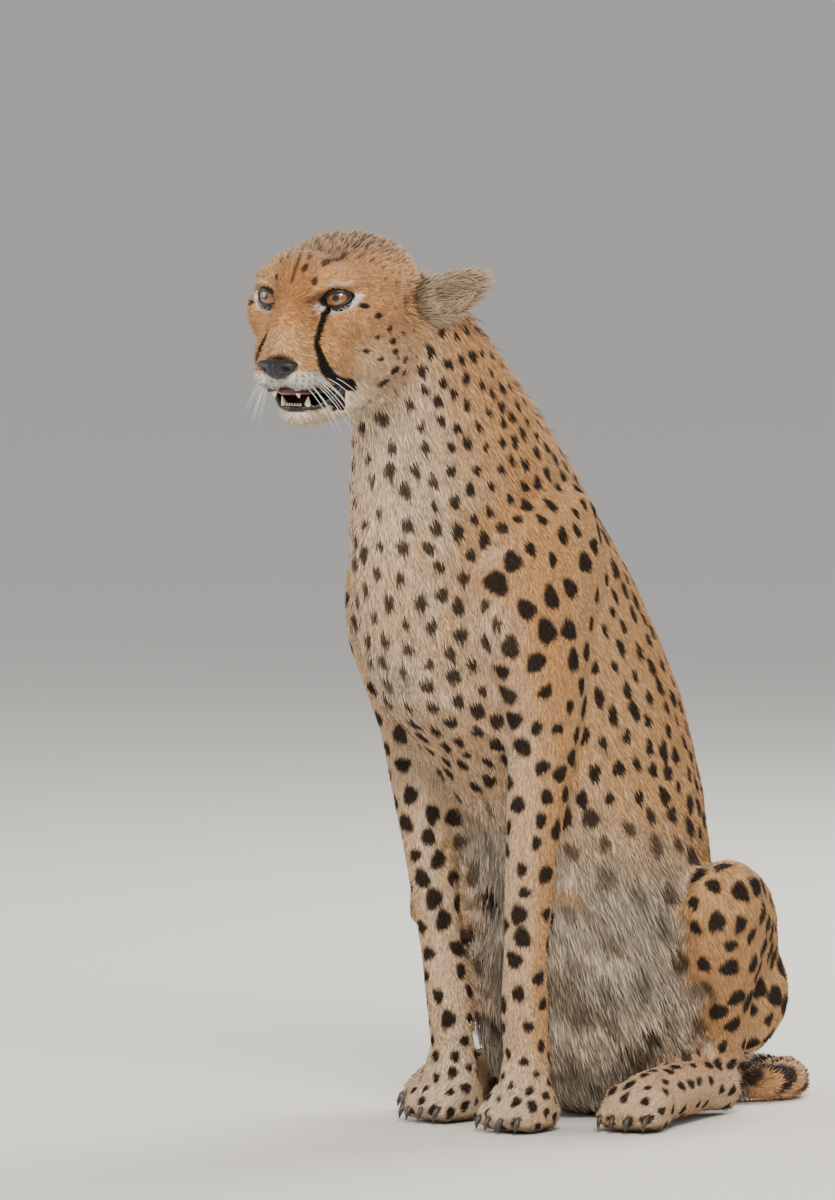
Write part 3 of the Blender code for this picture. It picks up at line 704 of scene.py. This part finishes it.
def face_marks(head, owner):
    """The line down the forehead, the brow spots and rows of whisker dots."""
    face = np.isin(owner, (SKULL, JAW))
    x, y, z = head.T
    out = 0.75 * ramp(np.abs(x - 0.001), 0.0026, 0.0010) * ramp(z, 0.010, 0.018) * ramp(z, 0.046, 0.040)
    for px, pz, size in FACE_SPOTS:
        out = np.maximum(out, 0.9 * ramp(np.hypot(x - px, (z - pz) / 1.4), size * 1.3, size * 0.8) * (y < 0.05))
    for py, pz, size in CHEEK_SPOTS:
        reach = np.hypot((y - py + 0.020) / 1.35, z - pz)
        out = np.maximum(out, ramp(reach, size * 1.40, size * 0.85) * (np.abs(x) > 0.03))
    for row in range(4):
        height = -0.0690 - 0.0050 * row
        side = np.abs(x)
        step = (side * 0.8 + y * 0.6) / 0.0062
        dots = ramp(np.abs(step - np.round(step)), 0.24, 0.12) * ramp(np.abs(z - height), 0.0013, 0.0007)
        out = np.maximum(out, 0.6 * dots * (side > 0.014) * (side < 0.036) * (y < 0.0))
    return out * face


def full_colour(points, normal, owner, belly, chest, spots):
    colour = ground_colour(points, normal, owner, belly, chest)
    head = to_head(points)
    dark = np.maximum(spots.mask(points), np.maximum(face_marks(head, owner), tail_bars(points, owner)))
    # The legs are darkened in their lowest 12 mm, where they meet the floor: painted shade.
    near_floor = np.isin(owner, (FORE_L, FORE_R, HIND_L, HIND_R)) * ramp((points - BODY_NP)[:, 2], 0.012, 0.004)
    dark = np.maximum(dark, 0.8 * near_floor)
    brown = np.array((0.035, 0.022, 0.015))
    return mix(colour, brown, dark)


# ---- build the skin -----------------------------------------------------------------
def unwrap(points, normal, owner):
    """A place on a flat map for each point of the skin: one cell for each part and side."""
    side = np.argmax(np.abs(normal), axis=1)
    sign = normal[np.arange(len(normal)), side] > 0
    cell = owner * 6 + side * 2 + sign
    flat = np.where((side == 0)[:, None], points[:, [1, 2]], points[:, [0, 2]])
    flat = np.where((side == 2)[:, None], points[:, [0, 1]], flat)
    out = np.empty((len(points), 2))
    across = 9
    for k in np.unique(cell):
        inside = cell == k
        low = flat[inside].min(axis=0)
        span = max((flat[inside].max(axis=0) - low).max(), 0.05)
        place = (flat[inside] - low) / span * 0.94 + 0.03
        out[inside] = (place + (k % across, k // across)) / across
    return out


mesh, bm = flesh_mesh(FLESH, VOXEL, SMOOTH_STEPS)
refine(bm, (0, 0.02, -0.03), 0.105)
for side in (1, -1):
    refine(bm, (0.037 * side, -0.004, 0), 0.030)
bmesh.ops.recalc_face_normals(bm, faces=bm.faces)
bm.to_mesh(mesh)
bm.free()
field = Field(mesh)
length, stand, width, lift = field.coat()
points = field.points - field.normals * stand[:, None]
points = shape_lids(points)
set_coordinates(mesh, points)
shade_smooth(mesh)
field.points, field.normals = points, normals(mesh)
field.body, field.head = points - BODY_NP, to_head(points)
lie = field.lie()
spots = Spots(field, lie)
colour = full_colour(points, field.normals, field.owner, field.belly, field.chest, spots)
hx, hy, hz = field.head.T
in_mouth = (hz < -0.0865) & (hz > -0.1105) & (hy < 0.018) & (
    (np.abs(field.normals[:, 2]) > 0.55) | (hy > 0.004)) & (np.abs(hx) < 0.05)  # fmt: skip
in_mouth &= field.is_part(SKULL, JAW)
# Skin between the lips painted near black: the lips' own black skin, and painted shade inside the mouth.
colour[in_mouth] = (0.022, 0.012, 0.011)
paint(mesh, colour)
uv = unwrap(points, field.normals, field.owner)
loops = np.empty(len(mesh.loops), np.int32)
mesh.loops.foreach_get("vertex_index", loops)
mesh.uv_layers.new(name="OFBake").data.foreach_set("uv", uv[loops].astype(np.float32).ravel())
mesh.name = "skin"
skin = add_piece("skin", mesh, SKIN_LOOK)
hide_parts(*FLESH)


# ---- tufts --------------------------------------------------------------------------
def sample_roots(mesh, density):
    """Random points on the faces: corner indices and weights, thicker where density is."""
    mesh.calc_loop_triangles()
    tri = np.empty(len(mesh.loop_triangles) * 3, np.int32)
    mesh.loop_triangles.foreach_get("vertices", tri)
    tri = tri.reshape(-1, 3)
    p = coordinates(mesh)
    area = np.linalg.norm(np.cross(p[tri[:, 1]] - p[tri[:, 0]], p[tri[:, 2]] - p[tri[:, 0]]), axis=1) / 2
    want = area * density[tri].mean(axis=1)
    count = np.floor(want + rng.random(len(want))).astype(int)
    pick = np.repeat(np.arange(len(tri)), count)
    a, b = rng.random(len(pick)), rng.random(len(pick))
    over = a + b > 1
    a[over], b[over] = 1 - a[over], 1 - b[over]
    return tri[pick], np.column_stack([1 - a - b, a, b])


LOW, HIGH = (np.array(corner) for corner in box_before)
LOW = LOW + 0.0004
HIGH = HIGH - 0.0004
# A long tuft has a bend half way; a short one is a plain three-sided spike.
LONG_FACES = ((0, 2, 3), (2, 5, 3), (2, 1, 5), (1, 4, 5), (1, 0, 4), (0, 3, 4), (3, 5, 6), (5, 4, 6), (4, 3, 6),
              (0, 1, 2))  # fmt: skip
# Colour scale of each corner of a long tuft: painted shade at the root and along the lower sides, painted light on
# the upper ridge and at the tip.
LONG_PAINTED_SHADING = (0.84, 0.84, 0.88, 0.98, 0.98, 1.04, 1.12)
LONG_PATCH = ((-1, -1), (1, -1), (0, 0), (-0.6, 0.4), (0.6, 0.4), (0, 0.6), (0, 1))
SHORT_FACES = ((0, 2, 3), (2, 1, 3), (1, 0, 3), (0, 1, 2))
# The same for a short tuft: painted shade at the root, painted light on the ridge and at the tip.
SHORT_PAINTED_SHADING = (0.88, 0.88, 0.94, 1.10)
SHORT_PATCH = ((-1, -1), (1, -1), (0, 0), (0, 1))


def tuft_piece(name, root, normal, way, length, width, lift, shade, uv, bent):
    """Tufts as thin three-sided blades over the skin, one mesh for all of them."""
    n = len(root)
    side = unit(np.cross(way, normal))
    rise = np.sin(lift)[:, None]
    run = np.cos(lift)[:, None]
    long = length[:, None]
    half = width[:, None] / 2
    sunk = root - normal * 0.0006
    mid = root + (way * run + normal * rise) * long * 0.5
    if bent:
        tip = mid + unit(way * run + normal * rise * 0.25) * long * 0.5
        rows = [sunk - side * half * 0.8, sunk + side * half * 0.8, sunk + normal * half * 0.5, mid - side * half,
                mid + side * half, mid + normal * half * 0.5, tip]  # fmt: skip
        faces, tone, patch = LONG_FACES, LONG_PAINTED_SHADING, LONG_PATCH
    else:
        tip = root + (way * run + normal * rise) * long
        rows = [sunk - side * half, sunk + side * half, root + normal * half * 0.45, tip]
        faces, tone, patch = SHORT_FACES, SHORT_PAINTED_SHADING, SHORT_PATCH
    count = len(rows)
    verts = np.clip(np.stack(rows, axis=1).reshape(-1, 3), LOW, HIGH)
    corner = (np.array(faces)[None] + (np.arange(n) * count)[:, None, None]).reshape(-1)
    made = bpy.data.meshes.new(name)
    made.vertices.add(n * count)
    made.vertices.foreach_set("co", verts.astype(np.float32).ravel())
    made.loops.add(len(corner))
    made.loops.foreach_set("vertex_index", corner.astype(np.int32))
    made.polygons.add(len(corner) // 3)
    made.polygons.foreach_set("loop_start", np.arange(0, len(corner), 3, dtype=np.int32))
    made.polygons.foreach_set("use_smooth", np.ones(len(corner) // 3, bool))
    made.update(calc_edges=True)
    # Each corner's colour is scaled by the painted shade and light of its place on the tuft.
    paint(made, np.clip(shade[:, None, :] * np.array(tone)[None, :, None], 0, 1).reshape(-1, 3))
    corners = (uv[:, None, :] + np.array(patch)[None] * 0.0015).reshape(-1, 2)
    made.uv_layers.new(name="OFBake").data.foreach_set("uv", corners[corner].astype(np.float32).ravel())
    return add_piece(name, made, TUFT_LOOK)


COVER = 1.3  # how many times over the tufts cover the skin
LONG_TUFT = 0.0105  # longer tufts are bent
PIECE_TRIANGLES = 190000


def grow_coat(mesh, values, prefix, keep):
    """Sows tufts over a mesh. values holds each vertex's coat; keep thins them out."""
    length, width, lift, way, owner, belly, chest, nape, uv = values
    normal = normals(mesh)
    tri, weight = sample_roots(mesh, keep * COVER / (length * width * 0.62))
    w = weight[:, :, None]

    def at(column):
        return (column[tri] * (w if column.ndim > 1 else weight)).sum(axis=1)

    root = at(coordinates(mesh))
    up = unit(at(normal))
    flow = unit(at(way) + rng.normal(0, 0.10, root.shape) + 0.03 * waves(root, 0.06, 12)[:, None])
    flow = unit(flow - up * np.sum(flow * up, axis=1, keepdims=True))
    long = at(length) * rng.uniform(0.7, 1.25, len(root))
    wide = at(width) * rng.uniform(0.7, 1.2, len(root))
    rise = at(lift) * rng.uniform(0.6, 1.35, len(root))
    part = owner[tri[:, 0]]
    middle_of = root + flow * long[:, None] * 0.45
    shade = full_colour(middle_of, up, part, at(belly), at(chest), spots)
    shade = shade * rng.uniform(0.66, 1.26, len(root))[:, None]
    place = uv[tri[:, 0]]
    number = 0
    for bent, chosen in ((True, long > LONG_TUFT), (False, long <= LONG_TUFT)):
        chosen = np.where(chosen)[0]
        order = chosen[np.argsort(part[chosen], kind="stable")]
        batch = PIECE_TRIANGLES // (len(LONG_FACES) if bent else len(SHORT_FACES))
        for start in range(0, len(order), batch):
            k = order[start : start + batch]
            number += 1
            tuft_piece(f"{prefix}_{number:02d}", root[k], up[k], flow[k], long[k], wide[k], rise[k], shade[k],
                       place[k], bent)  # fmt: skip
        print("TUFTS", prefix, bent, len(order))


floor_side = ramp(points[:, 2], 0.0015, 0.006)
keep = (1 - in_mouth) * floor_side * np.where(points[:, 2] < 0.006, 0.3, 1.0)
for side in (1, -1):
    centre, out, up, ahead = (np.array(v) for v in eye_axes(side))
    local = points - centre
    s = np.hypot(local @ out, local @ up) / lid_edge(np.arctan2(local @ up, local @ out))
    keep *= 1 - (s < 1.32) * (local @ ahead > -0.010)
nose_low, nose_high = (np.array(v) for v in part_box("nose"))
nose_middle = (nose_low + nose_high) / 2
keep *= 1 - (np.linalg.norm((to_head(points) - to_head(nose_middle[None])) / (0.022, 0.013, 0.012), axis=1) < 1)
values = (length, width, lift, lie, field.owner, field.belly, field.chest, field.nape, uv)
grow_coat(skin.data, values, "coat", keep)


# ---- eyes ---------------------------------------------------------------------------
IRIS = 0.0112
PUPIL = 0.0036


def eyeball(side):
    centre, out, up, ahead = eye_axes(side)
    bm = bmesh.new()
    bmesh.ops.create_uvsphere(bm, u_segments=72, v_segments=96, radius=EYE_BALL)
    turn = Matrix((out, up, ahead)).transposed().to_4x4()
    if turn.determinant() < 0:
        turn = Matrix((-out, up, ahead)).transposed().to_4x4()
    made = bpy.data.meshes.new("eye")
    bm.to_mesh(made)
    bm.free()
    local = coordinates(made)
    reach = np.hypot(local[:, 0], local[:, 1])
    turned = np.arctan2(local[:, 1], local[:, 0])
    streak = 0.5 + 0.25 * np.sin(turned * 37) + 0.25 * np.sin(turned * 23 + 2)
    amber = mix(np.tile((0.25, 0.085, 0.020), (len(local), 1)), (0.20, 0.070, 0.020), streak * 0.5)
    amber = mix(amber, (0.40, 0.19, 0.06), ramp(reach, PUPIL * 2.2, PUPIL * 1.1) * 0.3)
    amber = mix(amber, (0.030, 0.015, 0.010), ramp(reach, IRIS * 0.84, IRIS * 0.97))
    amber = mix(amber, (0.004, 0.004, 0.004), ramp(reach, PUPIL * 1.12, PUPIL * 0.94))
    amber[local[:, 2] < 0] = (0.03, 0.015, 0.01)
    paint(made, amber, "Iris")
    made.transform(Matrix.Translation(centre) @ turn)
    shade_smooth(made)
    look, tree, shader = principled("eye_look", roughness=0.22)
    shader.inputs["Coat Weight"].default_value = 1.0
    shader.inputs["Coat Roughness"].default_value = 0.02
    colour = node(tree, "ShaderNodeAttribute", attribute_name="Iris")
    tree.links.new(colour.outputs["Color"], shader.inputs["Base Color"])
    name = "eyeball_left" if side > 0 else "eyeball_right"
    thing = add_piece(name, made, look)
    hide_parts("eye_left" if side > 0 else "eye_right")


def tube(name, path, radii, sides=10):
    """A smooth tube through points, closed at both ends."""
    path = [Vector(p) for p in path]
    bm = bmesh.new()
    rings = []
    for i, p in enumerate(path):
        run = (path[min(i + 1, len(path) - 1)] - path[max(i - 1, 0)]).normalized()
        first = run.orthogonal().normalized() if not rings else (last - run * last.dot(run)).normalized()
        last = first
        second = run.cross(first)
        ring = [bm.verts.new(p + (first * math.cos(k * 6.2832 / sides) + second * math.sin(k * 6.2832 / sides))
                * radii[i]) for k in range(sides)]  # fmt: skip
        rings.append(ring)
    for low, high in zip(rings, rings[1:]):
        for k in range(sides):
            bm.faces.new((low[k], low[(k + 1) % sides], high[(k + 1) % sides], high[k]))
    bm.faces.new(rings[0][::-1])
    bm.faces.new(rings[-1])
    made = bpy.data.meshes.new(name)
    bm.to_mesh(made)
    bm.free()
    shade_smooth(made)
    return made


def leather(name, colour, roughness, scale=900.0):
    made, tree, shader = principled(name, colour, roughness)
    noise = node(tree, "ShaderNodeTexVoronoi", Scale=scale)
    place = node(tree, "ShaderNodeTexCoord")
    relief = node(tree, "ShaderNodeBump", Strength=0.35, Distance=0.0004)
    tree.links.new(place.outputs["Object"], noise.inputs["Vector"])
    tree.links.new(noise.outputs["Distance"], relief.inputs["Height"])
    tree.links.new(relief.outputs["Normal"], shader.inputs["Normal"])
    return made


RIM_LOOK = leather("lid_rim", (0.010, 0.009, 0.009), 0.35)
for side in (1, -1):
    eyeball(side)
    centre, out, up, ahead = eye_axes(side)
    path = []
    for k in range(65):
        angle = 2 * math.pi * k / 64
        reach = float(lid_edge(np.array(angle))) * 1.02
        depth = math.sqrt(max((EYE_BALL + 0.0004) ** 2 - min(reach, EYE_BALL * 0.93) ** 2, 0))
        path.append(centre + out * math.cos(angle) * reach + up * math.sin(angle) * reach + ahead * depth)
    # The rim is the lids' own black edge, made thicker on top as a painted shadow of the upper lid on the eye.
    rim = tube("lid_rim", path, [0.0015 + 0.0008 * max(math.sin(6.2832 * k / 64), 0) for k in range(65)])
    add_piece("lid_rim_left" if side > 0 else "lid_rim_right", rim, RIM_LOOK)


# ---- nose ---------------------------------------------------------------------------
def nose_pad():
    bm = bmesh.new()
    bmesh.ops.create_uvsphere(bm, u_segments=96, v_segments=64, radius=1.0)
    made = bpy.data.meshes.new("nose_pad")
    bm.to_mesh(made)
    bm.free()
    p = coordinates(made)
    x, y, z = p.T
    taper = np.where(z < 0, 1 - 0.50 * np.abs(z) ** 1.1, 1.0 - 0.1 * z)
    q = np.column_stack([x * 0.0225 * taper, y * 0.0125, z * 0.0108])
    q[:, 2] = np.where(q[:, 2] > 0, q[:, 2] * 0.72, q[:, 2] * 1.15)
    q[:, 2] += 0.0022 * np.abs(x) ** 2
    dent = bump(q, (0.0120, -0.0080, -0.0020), (0.0048, 0.0080, 0.0026)) + bump(
        q, (-0.0120, -0.0080, -0.0020), (0.0048, 0.0080, 0.0026))  # fmt: skip
    q[:, 1] += 0.0075 * dent
    q[:, 1] += 0.0016 * bump(q, (0, -0.0125, -0.006), (0.0012, 0.01, 0.008))
    q += np.array((0.0, -0.0500, -0.0655))
    set_coordinates(made, from_head(q))
    shade_smooth(made)
    thing = add_piece("nose_pad", made, leather("nose_skin", (0.012, 0.011, 0.011), 0.38, 1100.0))
    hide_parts("nose")


nose_pad()


# ---- mouth --------------------------------------------------------------------------
def head_tube(name, path, radii, material, steps=6):
    """A tube along a smooth curve through points in the head's axes."""
    rows = np.array([(*p, r) for p, r in zip(path, radii)])
    t = np.linspace(0, len(rows) - 1, (len(rows) - 1) * steps + 1)
    whole = np.column_stack([np.interp(t, np.arange(len(rows)), rows[:, c]) for c in range(4)])
    for _ in range(3):
        whole[1:-1] = (whole[:-2] + whole[1:-1] * 2 + whole[2:]) / 4
    made = tube(name, from_head(whole[:, :3]), whole[:, 3])
    return add_piece(name, made, material)


LIP_LOOK = leather("lip_skin", (0.012, 0.010, 0.010), 0.40)
GUM_LOOK = leather("gum", (0.22, 0.045, 0.040), 0.30)
TOOTH_LOOK, _, _ = principled("tooth", (0.78, 0.66, 0.44), 0.28)
CLAW_LOOK, _, _ = principled("claw", (0.060, 0.040, 0.028), 0.35)
for side in (1, -1):
    name = "left" if side > 0 else "right"
    lower = [(0.0, -0.0215, -0.1075), (0.010 * side, -0.0185, -0.1075), (0.019 * side, -0.010, -0.1070),
             (0.028 * side, 0.000, -0.1010), (0.0340 * side, 0.008, -0.0940), (0.0370 * side, 0.012, -0.0870)]  # fmt: skip
    head_tube(f"lower_lip_{name}", lower, [0.0022, 0.0024, 0.0026, 0.0034, 0.0046, 0.0036], LIP_LOOK)
    upper = [(0.004 * side, -0.046, -0.0885), (0.016 * side, -0.040, -0.0905), (0.026 * side, -0.024, -0.0905),
             (0.032 * side, -0.008, -0.0900), (0.036 * side, 0.006, -0.0860)]  # fmt: skip
    head_tube(f"upper_lip_{name}", upper, [0.0010, 0.0012, 0.0014, 0.0022, 0.0030], LIP_LOOK)
    fang = [(0.0125 * side, -0.0130, -0.1090), (0.0135 * side, -0.0150, -0.1020), (0.0150 * side, -0.0160, -0.0955)]
    head_tube(f"lower_canine_{name}", fang, [0.0036, 0.0030, 0.0004], TOOTH_LOOK)
    top = [(0.0130 * side, -0.0330, -0.0870), (0.0135 * side, -0.0330, -0.0930), (0.0138 * side, -0.0315, -0.0965)]
    head_tube(f"upper_canine_{name}", top, [0.0034, 0.0024, 0.0005], TOOTH_LOOK)
gum = [(-0.020, -0.012, -0.0905), (-0.010, -0.026, -0.0910), (0.0, -0.030, -0.0912), (0.010, -0.026, -0.0910),
       (0.020, -0.012, -0.0905)]  # fmt: skip
head_tube("upper_gum", gum, [0.0030] * 5, GUM_LOOK)
tongue = [(0.0, 0.016, -0.1020), (0.0, 0.004, -0.1045), (0.0, -0.008, -0.1065)]
head_tube("tongue", tongue, [0.0060, 0.0065, 0.0040], GUM_LOOK)
incisors = bmesh.new()
for k in range(-3, 3):
    x = (k + 0.5) * 0.0030
    place = Matrix.Translation(from_head((x, -0.0195 + 12 * x * x, -0.1045)))
    bmesh.ops.create_cone(incisors, cap_ends=True, segments=10, radius1=0.0014, radius2=0.0008, depth=0.004,
                          matrix=place)  # fmt: skip
row = bpy.data.meshes.new("incisors")
incisors.to_mesh(row)
incisors.free()
shade_smooth(row)
add_piece("incisors", row, TOOTH_LOOK)

# ---- claws --------------------------------------------------------------------------
# Each paw: the point from which its toes are set out and the way they point.
PAWS = {
    "fore_left": ((0.065, 0.002), (0.06, -1.0)),
    "fore_right": ((-0.055, 0.016), (-0.06, -1.0)),
    "hind_left": ((0.142, 0.090), (0.28, -1.0)),
    "hind_right": ((-0.128, 0.088), (-0.24, -1.0)),
}
TOE_SPACING = 0.0170
for name, (foot, way) in PAWS.items():
    ahead = Vector((*way, 0)).normalized()
    across = Vector((-ahead.y, ahead.x, 0))
    joined = bmesh.new()
    for place in (-1.5, -0.5, 0.5, 1.5):
        centre = BODY + Vector((*foot, 0.015)) + ahead * (0.030 - 0.006 * abs(place)) + across * place * TOE_SPACING
        path = [centre + ahead * 0.012 + UP * 0.003, centre + ahead * 0.019, centre + ahead * 0.0225 - UP * 0.006,
                centre + ahead * 0.0235 - UP * 0.0115]  # fmt: skip
        one = tube("claw", path, [0.0030, 0.0030, 0.0022, 0.0005], 8)
        joined.from_mesh(one)
    claws = bpy.data.meshes.new("claws_" + name)
    joined.to_mesh(claws)
    joined.free()
    shade_smooth(claws)
    add_piece("claws_" + name, claws, CLAW_LOOK)

# ---- whiskers -----------------------------------------------------------------------
WHITE_HAIR, _, _ = principled("whisker", (0.80, 0.78, 0.74), 0.4)
for side in (1, -1):
    joined = bmesh.new()
    for row in range(3):
        for k in range(4):
            base = np.array((side * (0.022 + 0.0028 * k), -0.034 + 0.0065 * k, -0.0725 - 0.0058 * row))
            out = np.array((side * 0.75, 0.40 + 0.07 * k, -0.30 - 0.20 * row)) + rng.normal(0, 0.09, 3)
            out /= np.linalg.norm(out)
            reach = 0.036 + 0.010 * rng.random()
            path = [base + out * reach * t + np.array((0, 0.0, -0.016)) * t * t for t in (0, 0.25, 0.5, 0.75, 1.0)]
            joined.from_mesh(tube("whisker", from_head(path), [0.00042, 0.00038, 0.00032, 0.00022, 0.0001], 5))
    made = bpy.data.meshes.new("whiskers")
    joined.to_mesh(made)
    joined.free()
    add_piece("whiskers_left" if side > 0 else "whiskers_right", made, WHITE_HAIR)


# ---- ears ---------------------------------------------------------------------------
def ear(side):
    """The ear is a skin of its own, from its solid, with a short coat outside and a fan of
    long pale hair inside."""
    name = "ear_left" if side > 0 else "ear_right"
    mesh, bm = flesh_mesh([name], 0.0016, 5)
    bmesh.ops.recalc_face_normals(bm, faces=bm.faces)
    bm.to_mesh(mesh)
    bm.free()
    p, n = coordinates(mesh), normals(mesh)
    p -= n * 0.0010
    set_coordinates(mesh, p)
    shade_smooth(mesh)
    head = to_head(p)
    local_n = n @ HEAD_AXES.T
    along = (head[:, 0] * side - 0.052) / 0.056
    opening = np.array((0.42 * side, -0.88, -0.22))
    facing = local_n @ opening
    colour = mix(np.tile(TAWNY, (len(p), 1)), (0.62, 0.50, 0.37), 0.8 * ramp(facing, 0.2, 0.7))
    # Painted shade: the inside of the ear darkened towards its base, in the ear's hollow.
    colour = mix(colour, np.array((0.05, 0.035, 0.028)), 0.85 * ramp(facing, 0.2, 0.7) * ramp(along, 0.22, 0.0))
    behind = ramp(facing, 0.0, -0.4)
    colour = mix(colour, BLACK, behind * ramp(along, 0.02, 0.15) * ramp(along, 0.75, 0.55))
    patch = ramp(local_n[:, 2], 0.30, 0.55) * ramp(along, 0.05, 0.15) * ramp(along, 0.55, 0.42)
    colour = mix(colour, BLACK, patch * ramp(facing, 0.6, 0.3))
    colour = mix(colour, GREY, behind * ramp(along, 0.60, 0.80) * 0.7)
    paint(mesh, colour)
    owner = np.full(len(p), SKULL)
    uv = unwrap(p, n, owner)
    loops = np.empty(len(mesh.loops), np.int32)
    mesh.loops.foreach_get("vertex_index", loops)
    mesh.uv_layers.new(name="OFBake").data.foreach_set("uv", uv[loops].astype(np.float32).ravel())
    mesh.name = name + "_skin"
    thing = add_piece(name + "_skin", mesh, SKIN_LOOK)
    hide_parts(name)
    way = np.array((0.90 * side, 0.30, 0.25)) @ HEAD_AXES
    flow = np.tile(way, (len(p), 1))
    flow -= n * np.sum(flow * n, axis=1, keepdims=True)
    flow = unit(flow)
    inner = ramp(facing, 0.2, 0.7)
    tri, weight = sample_roots(mesh, np.full(len(p), 4.5e5) * (1.0))
    w = weight[:, :, None]
    root, up = (p[tri] * w).sum(axis=1), unit((n[tri] * w).sum(axis=1))
    fan = inner[tri[:, 0]]
    spread = rng.normal(0, 0.16, root.shape)
    direction = unit(flow[tri[:, 0]] + spread)
    direction = unit(direction - up * np.sum(direction * up, axis=1, keepdims=True))
    long = (0.0052 + 0.0120 * fan) * rng.uniform(0.7, 1.2, len(root))
    wide = np.full(len(root), 0.0009)
    rise = np.radians(16 + 16 * fan) * rng.uniform(0.6, 1.3, len(root))
    shade = colour[tri[:, 0]] * rng.uniform(0.50, 1.20, len(root))[:, None]
    tuft_piece("coat_" + name, root, up, direction, long, wide, rise, shade, uv[tri[:, 0]], False)


ear(1)
ear(-1)

# ---- floor, light and camera --------------------------------------------------------
FRAME_HIGH = 1.2  # metres of the scene that the picture's height covers
FRAME_CENTRE = (-0.0595, 0.526)  # from the floor point between the forefeet, right and up
CAMERA_AZIMUTH = math.radians(45)
CAMERA_RISE = math.radians(4)
CAMERA_AWAY = 13.0
floor_look, tree, shader = principled("floor_look", (0.80, 0.76, 0.70), 0.9)
grain = node(tree, "ShaderNodeTexNoise", Scale=3.0)
tone = node(tree, "ShaderNodeMapRange")
tone.inputs["To Min"].default_value = 0.97
tone.inputs["To Max"].default_value = 1.03
tree.links.new(grain.outputs["Fac"], tone.inputs["Value"])
look_from = Vector((math.sin(CAMERA_AZIMUTH), -math.cos(CAMERA_AZIMUTH), 0))
right = Vector((math.cos(CAMERA_AZIMUTH), math.sin(CAMERA_AZIMUTH), 0))
FLOOR_REACH = 90.0  # far enough to fill the picture from every side
corners = [(x * FLOOR_REACH, y * FLOOR_REACH, 0) for x, y in ((-1, -1), (1, -1), (1, 1), (-1, 1))]
floor = bpy.data.objects.new("floor", mesh_from("floor", corners, [(0, 1, 2, 3)]))
floor.data.materials.append(floor_look)
bpy.context.scene.collection.objects.link(floor)


def area_light(name, place, size, power, colour):
    data = bpy.data.lights.new(name, "AREA")
    data.size = size
    data.energy = power
    data.color = colour
    lamp = bpy.data.objects.new(name, data)
    lamp.location = place
    lamp.rotation_euler = (Vector((0, 0.1, 0.45)) - Vector(place)).to_track_quat("-Z", "Y").to_euler()
    bpy.context.scene.collection.objects.link(lamp)


area_light("key", (3.0, -2.6, 3.4), 1.5, 215, (1.0, 0.96, 0.90))
area_light("fill", (-2.8, -2.8, 1.8), 2.6, 90, (0.92, 0.96, 1.0))
area_light("rim", (-0.5, 3.0, 2.8), 2.0, 150, (1.0, 0.98, 0.95))
world = bpy.data.worlds.new("studio")
world.use_nodes = True
world.node_tree.nodes["Background"].inputs["Color"].default_value = (0.95, 0.97, 1.0, 1.0)
world.node_tree.nodes["Background"].inputs["Strength"].default_value = 0.52
bpy.context.scene.world = world
away = look_from * math.cos(CAMERA_RISE) + UP * math.sin(CAMERA_RISE)
above = UP * math.cos(CAMERA_RISE) - look_from * math.sin(CAMERA_RISE)
target = BODY + right * FRAME_CENTRE[0] + above * FRAME_CENTRE[1]
lens = bpy.data.cameras.new("camera")
lens.sensor_fit = "VERTICAL"
lens.sensor_height = 36.0
lens.lens = 36.0 * CAMERA_AWAY / FRAME_HIGH
lens.clip_end = 250.0
camera = bpy.data.objects.new("camera", lens)
camera.location = target + away * CAMERA_AWAY
camera.rotation_euler = away.to_track_quat("Z", "Y").to_euler()
bpy.context.scene.collection.objects.link(camera)
bpy.context.scene.camera = camera

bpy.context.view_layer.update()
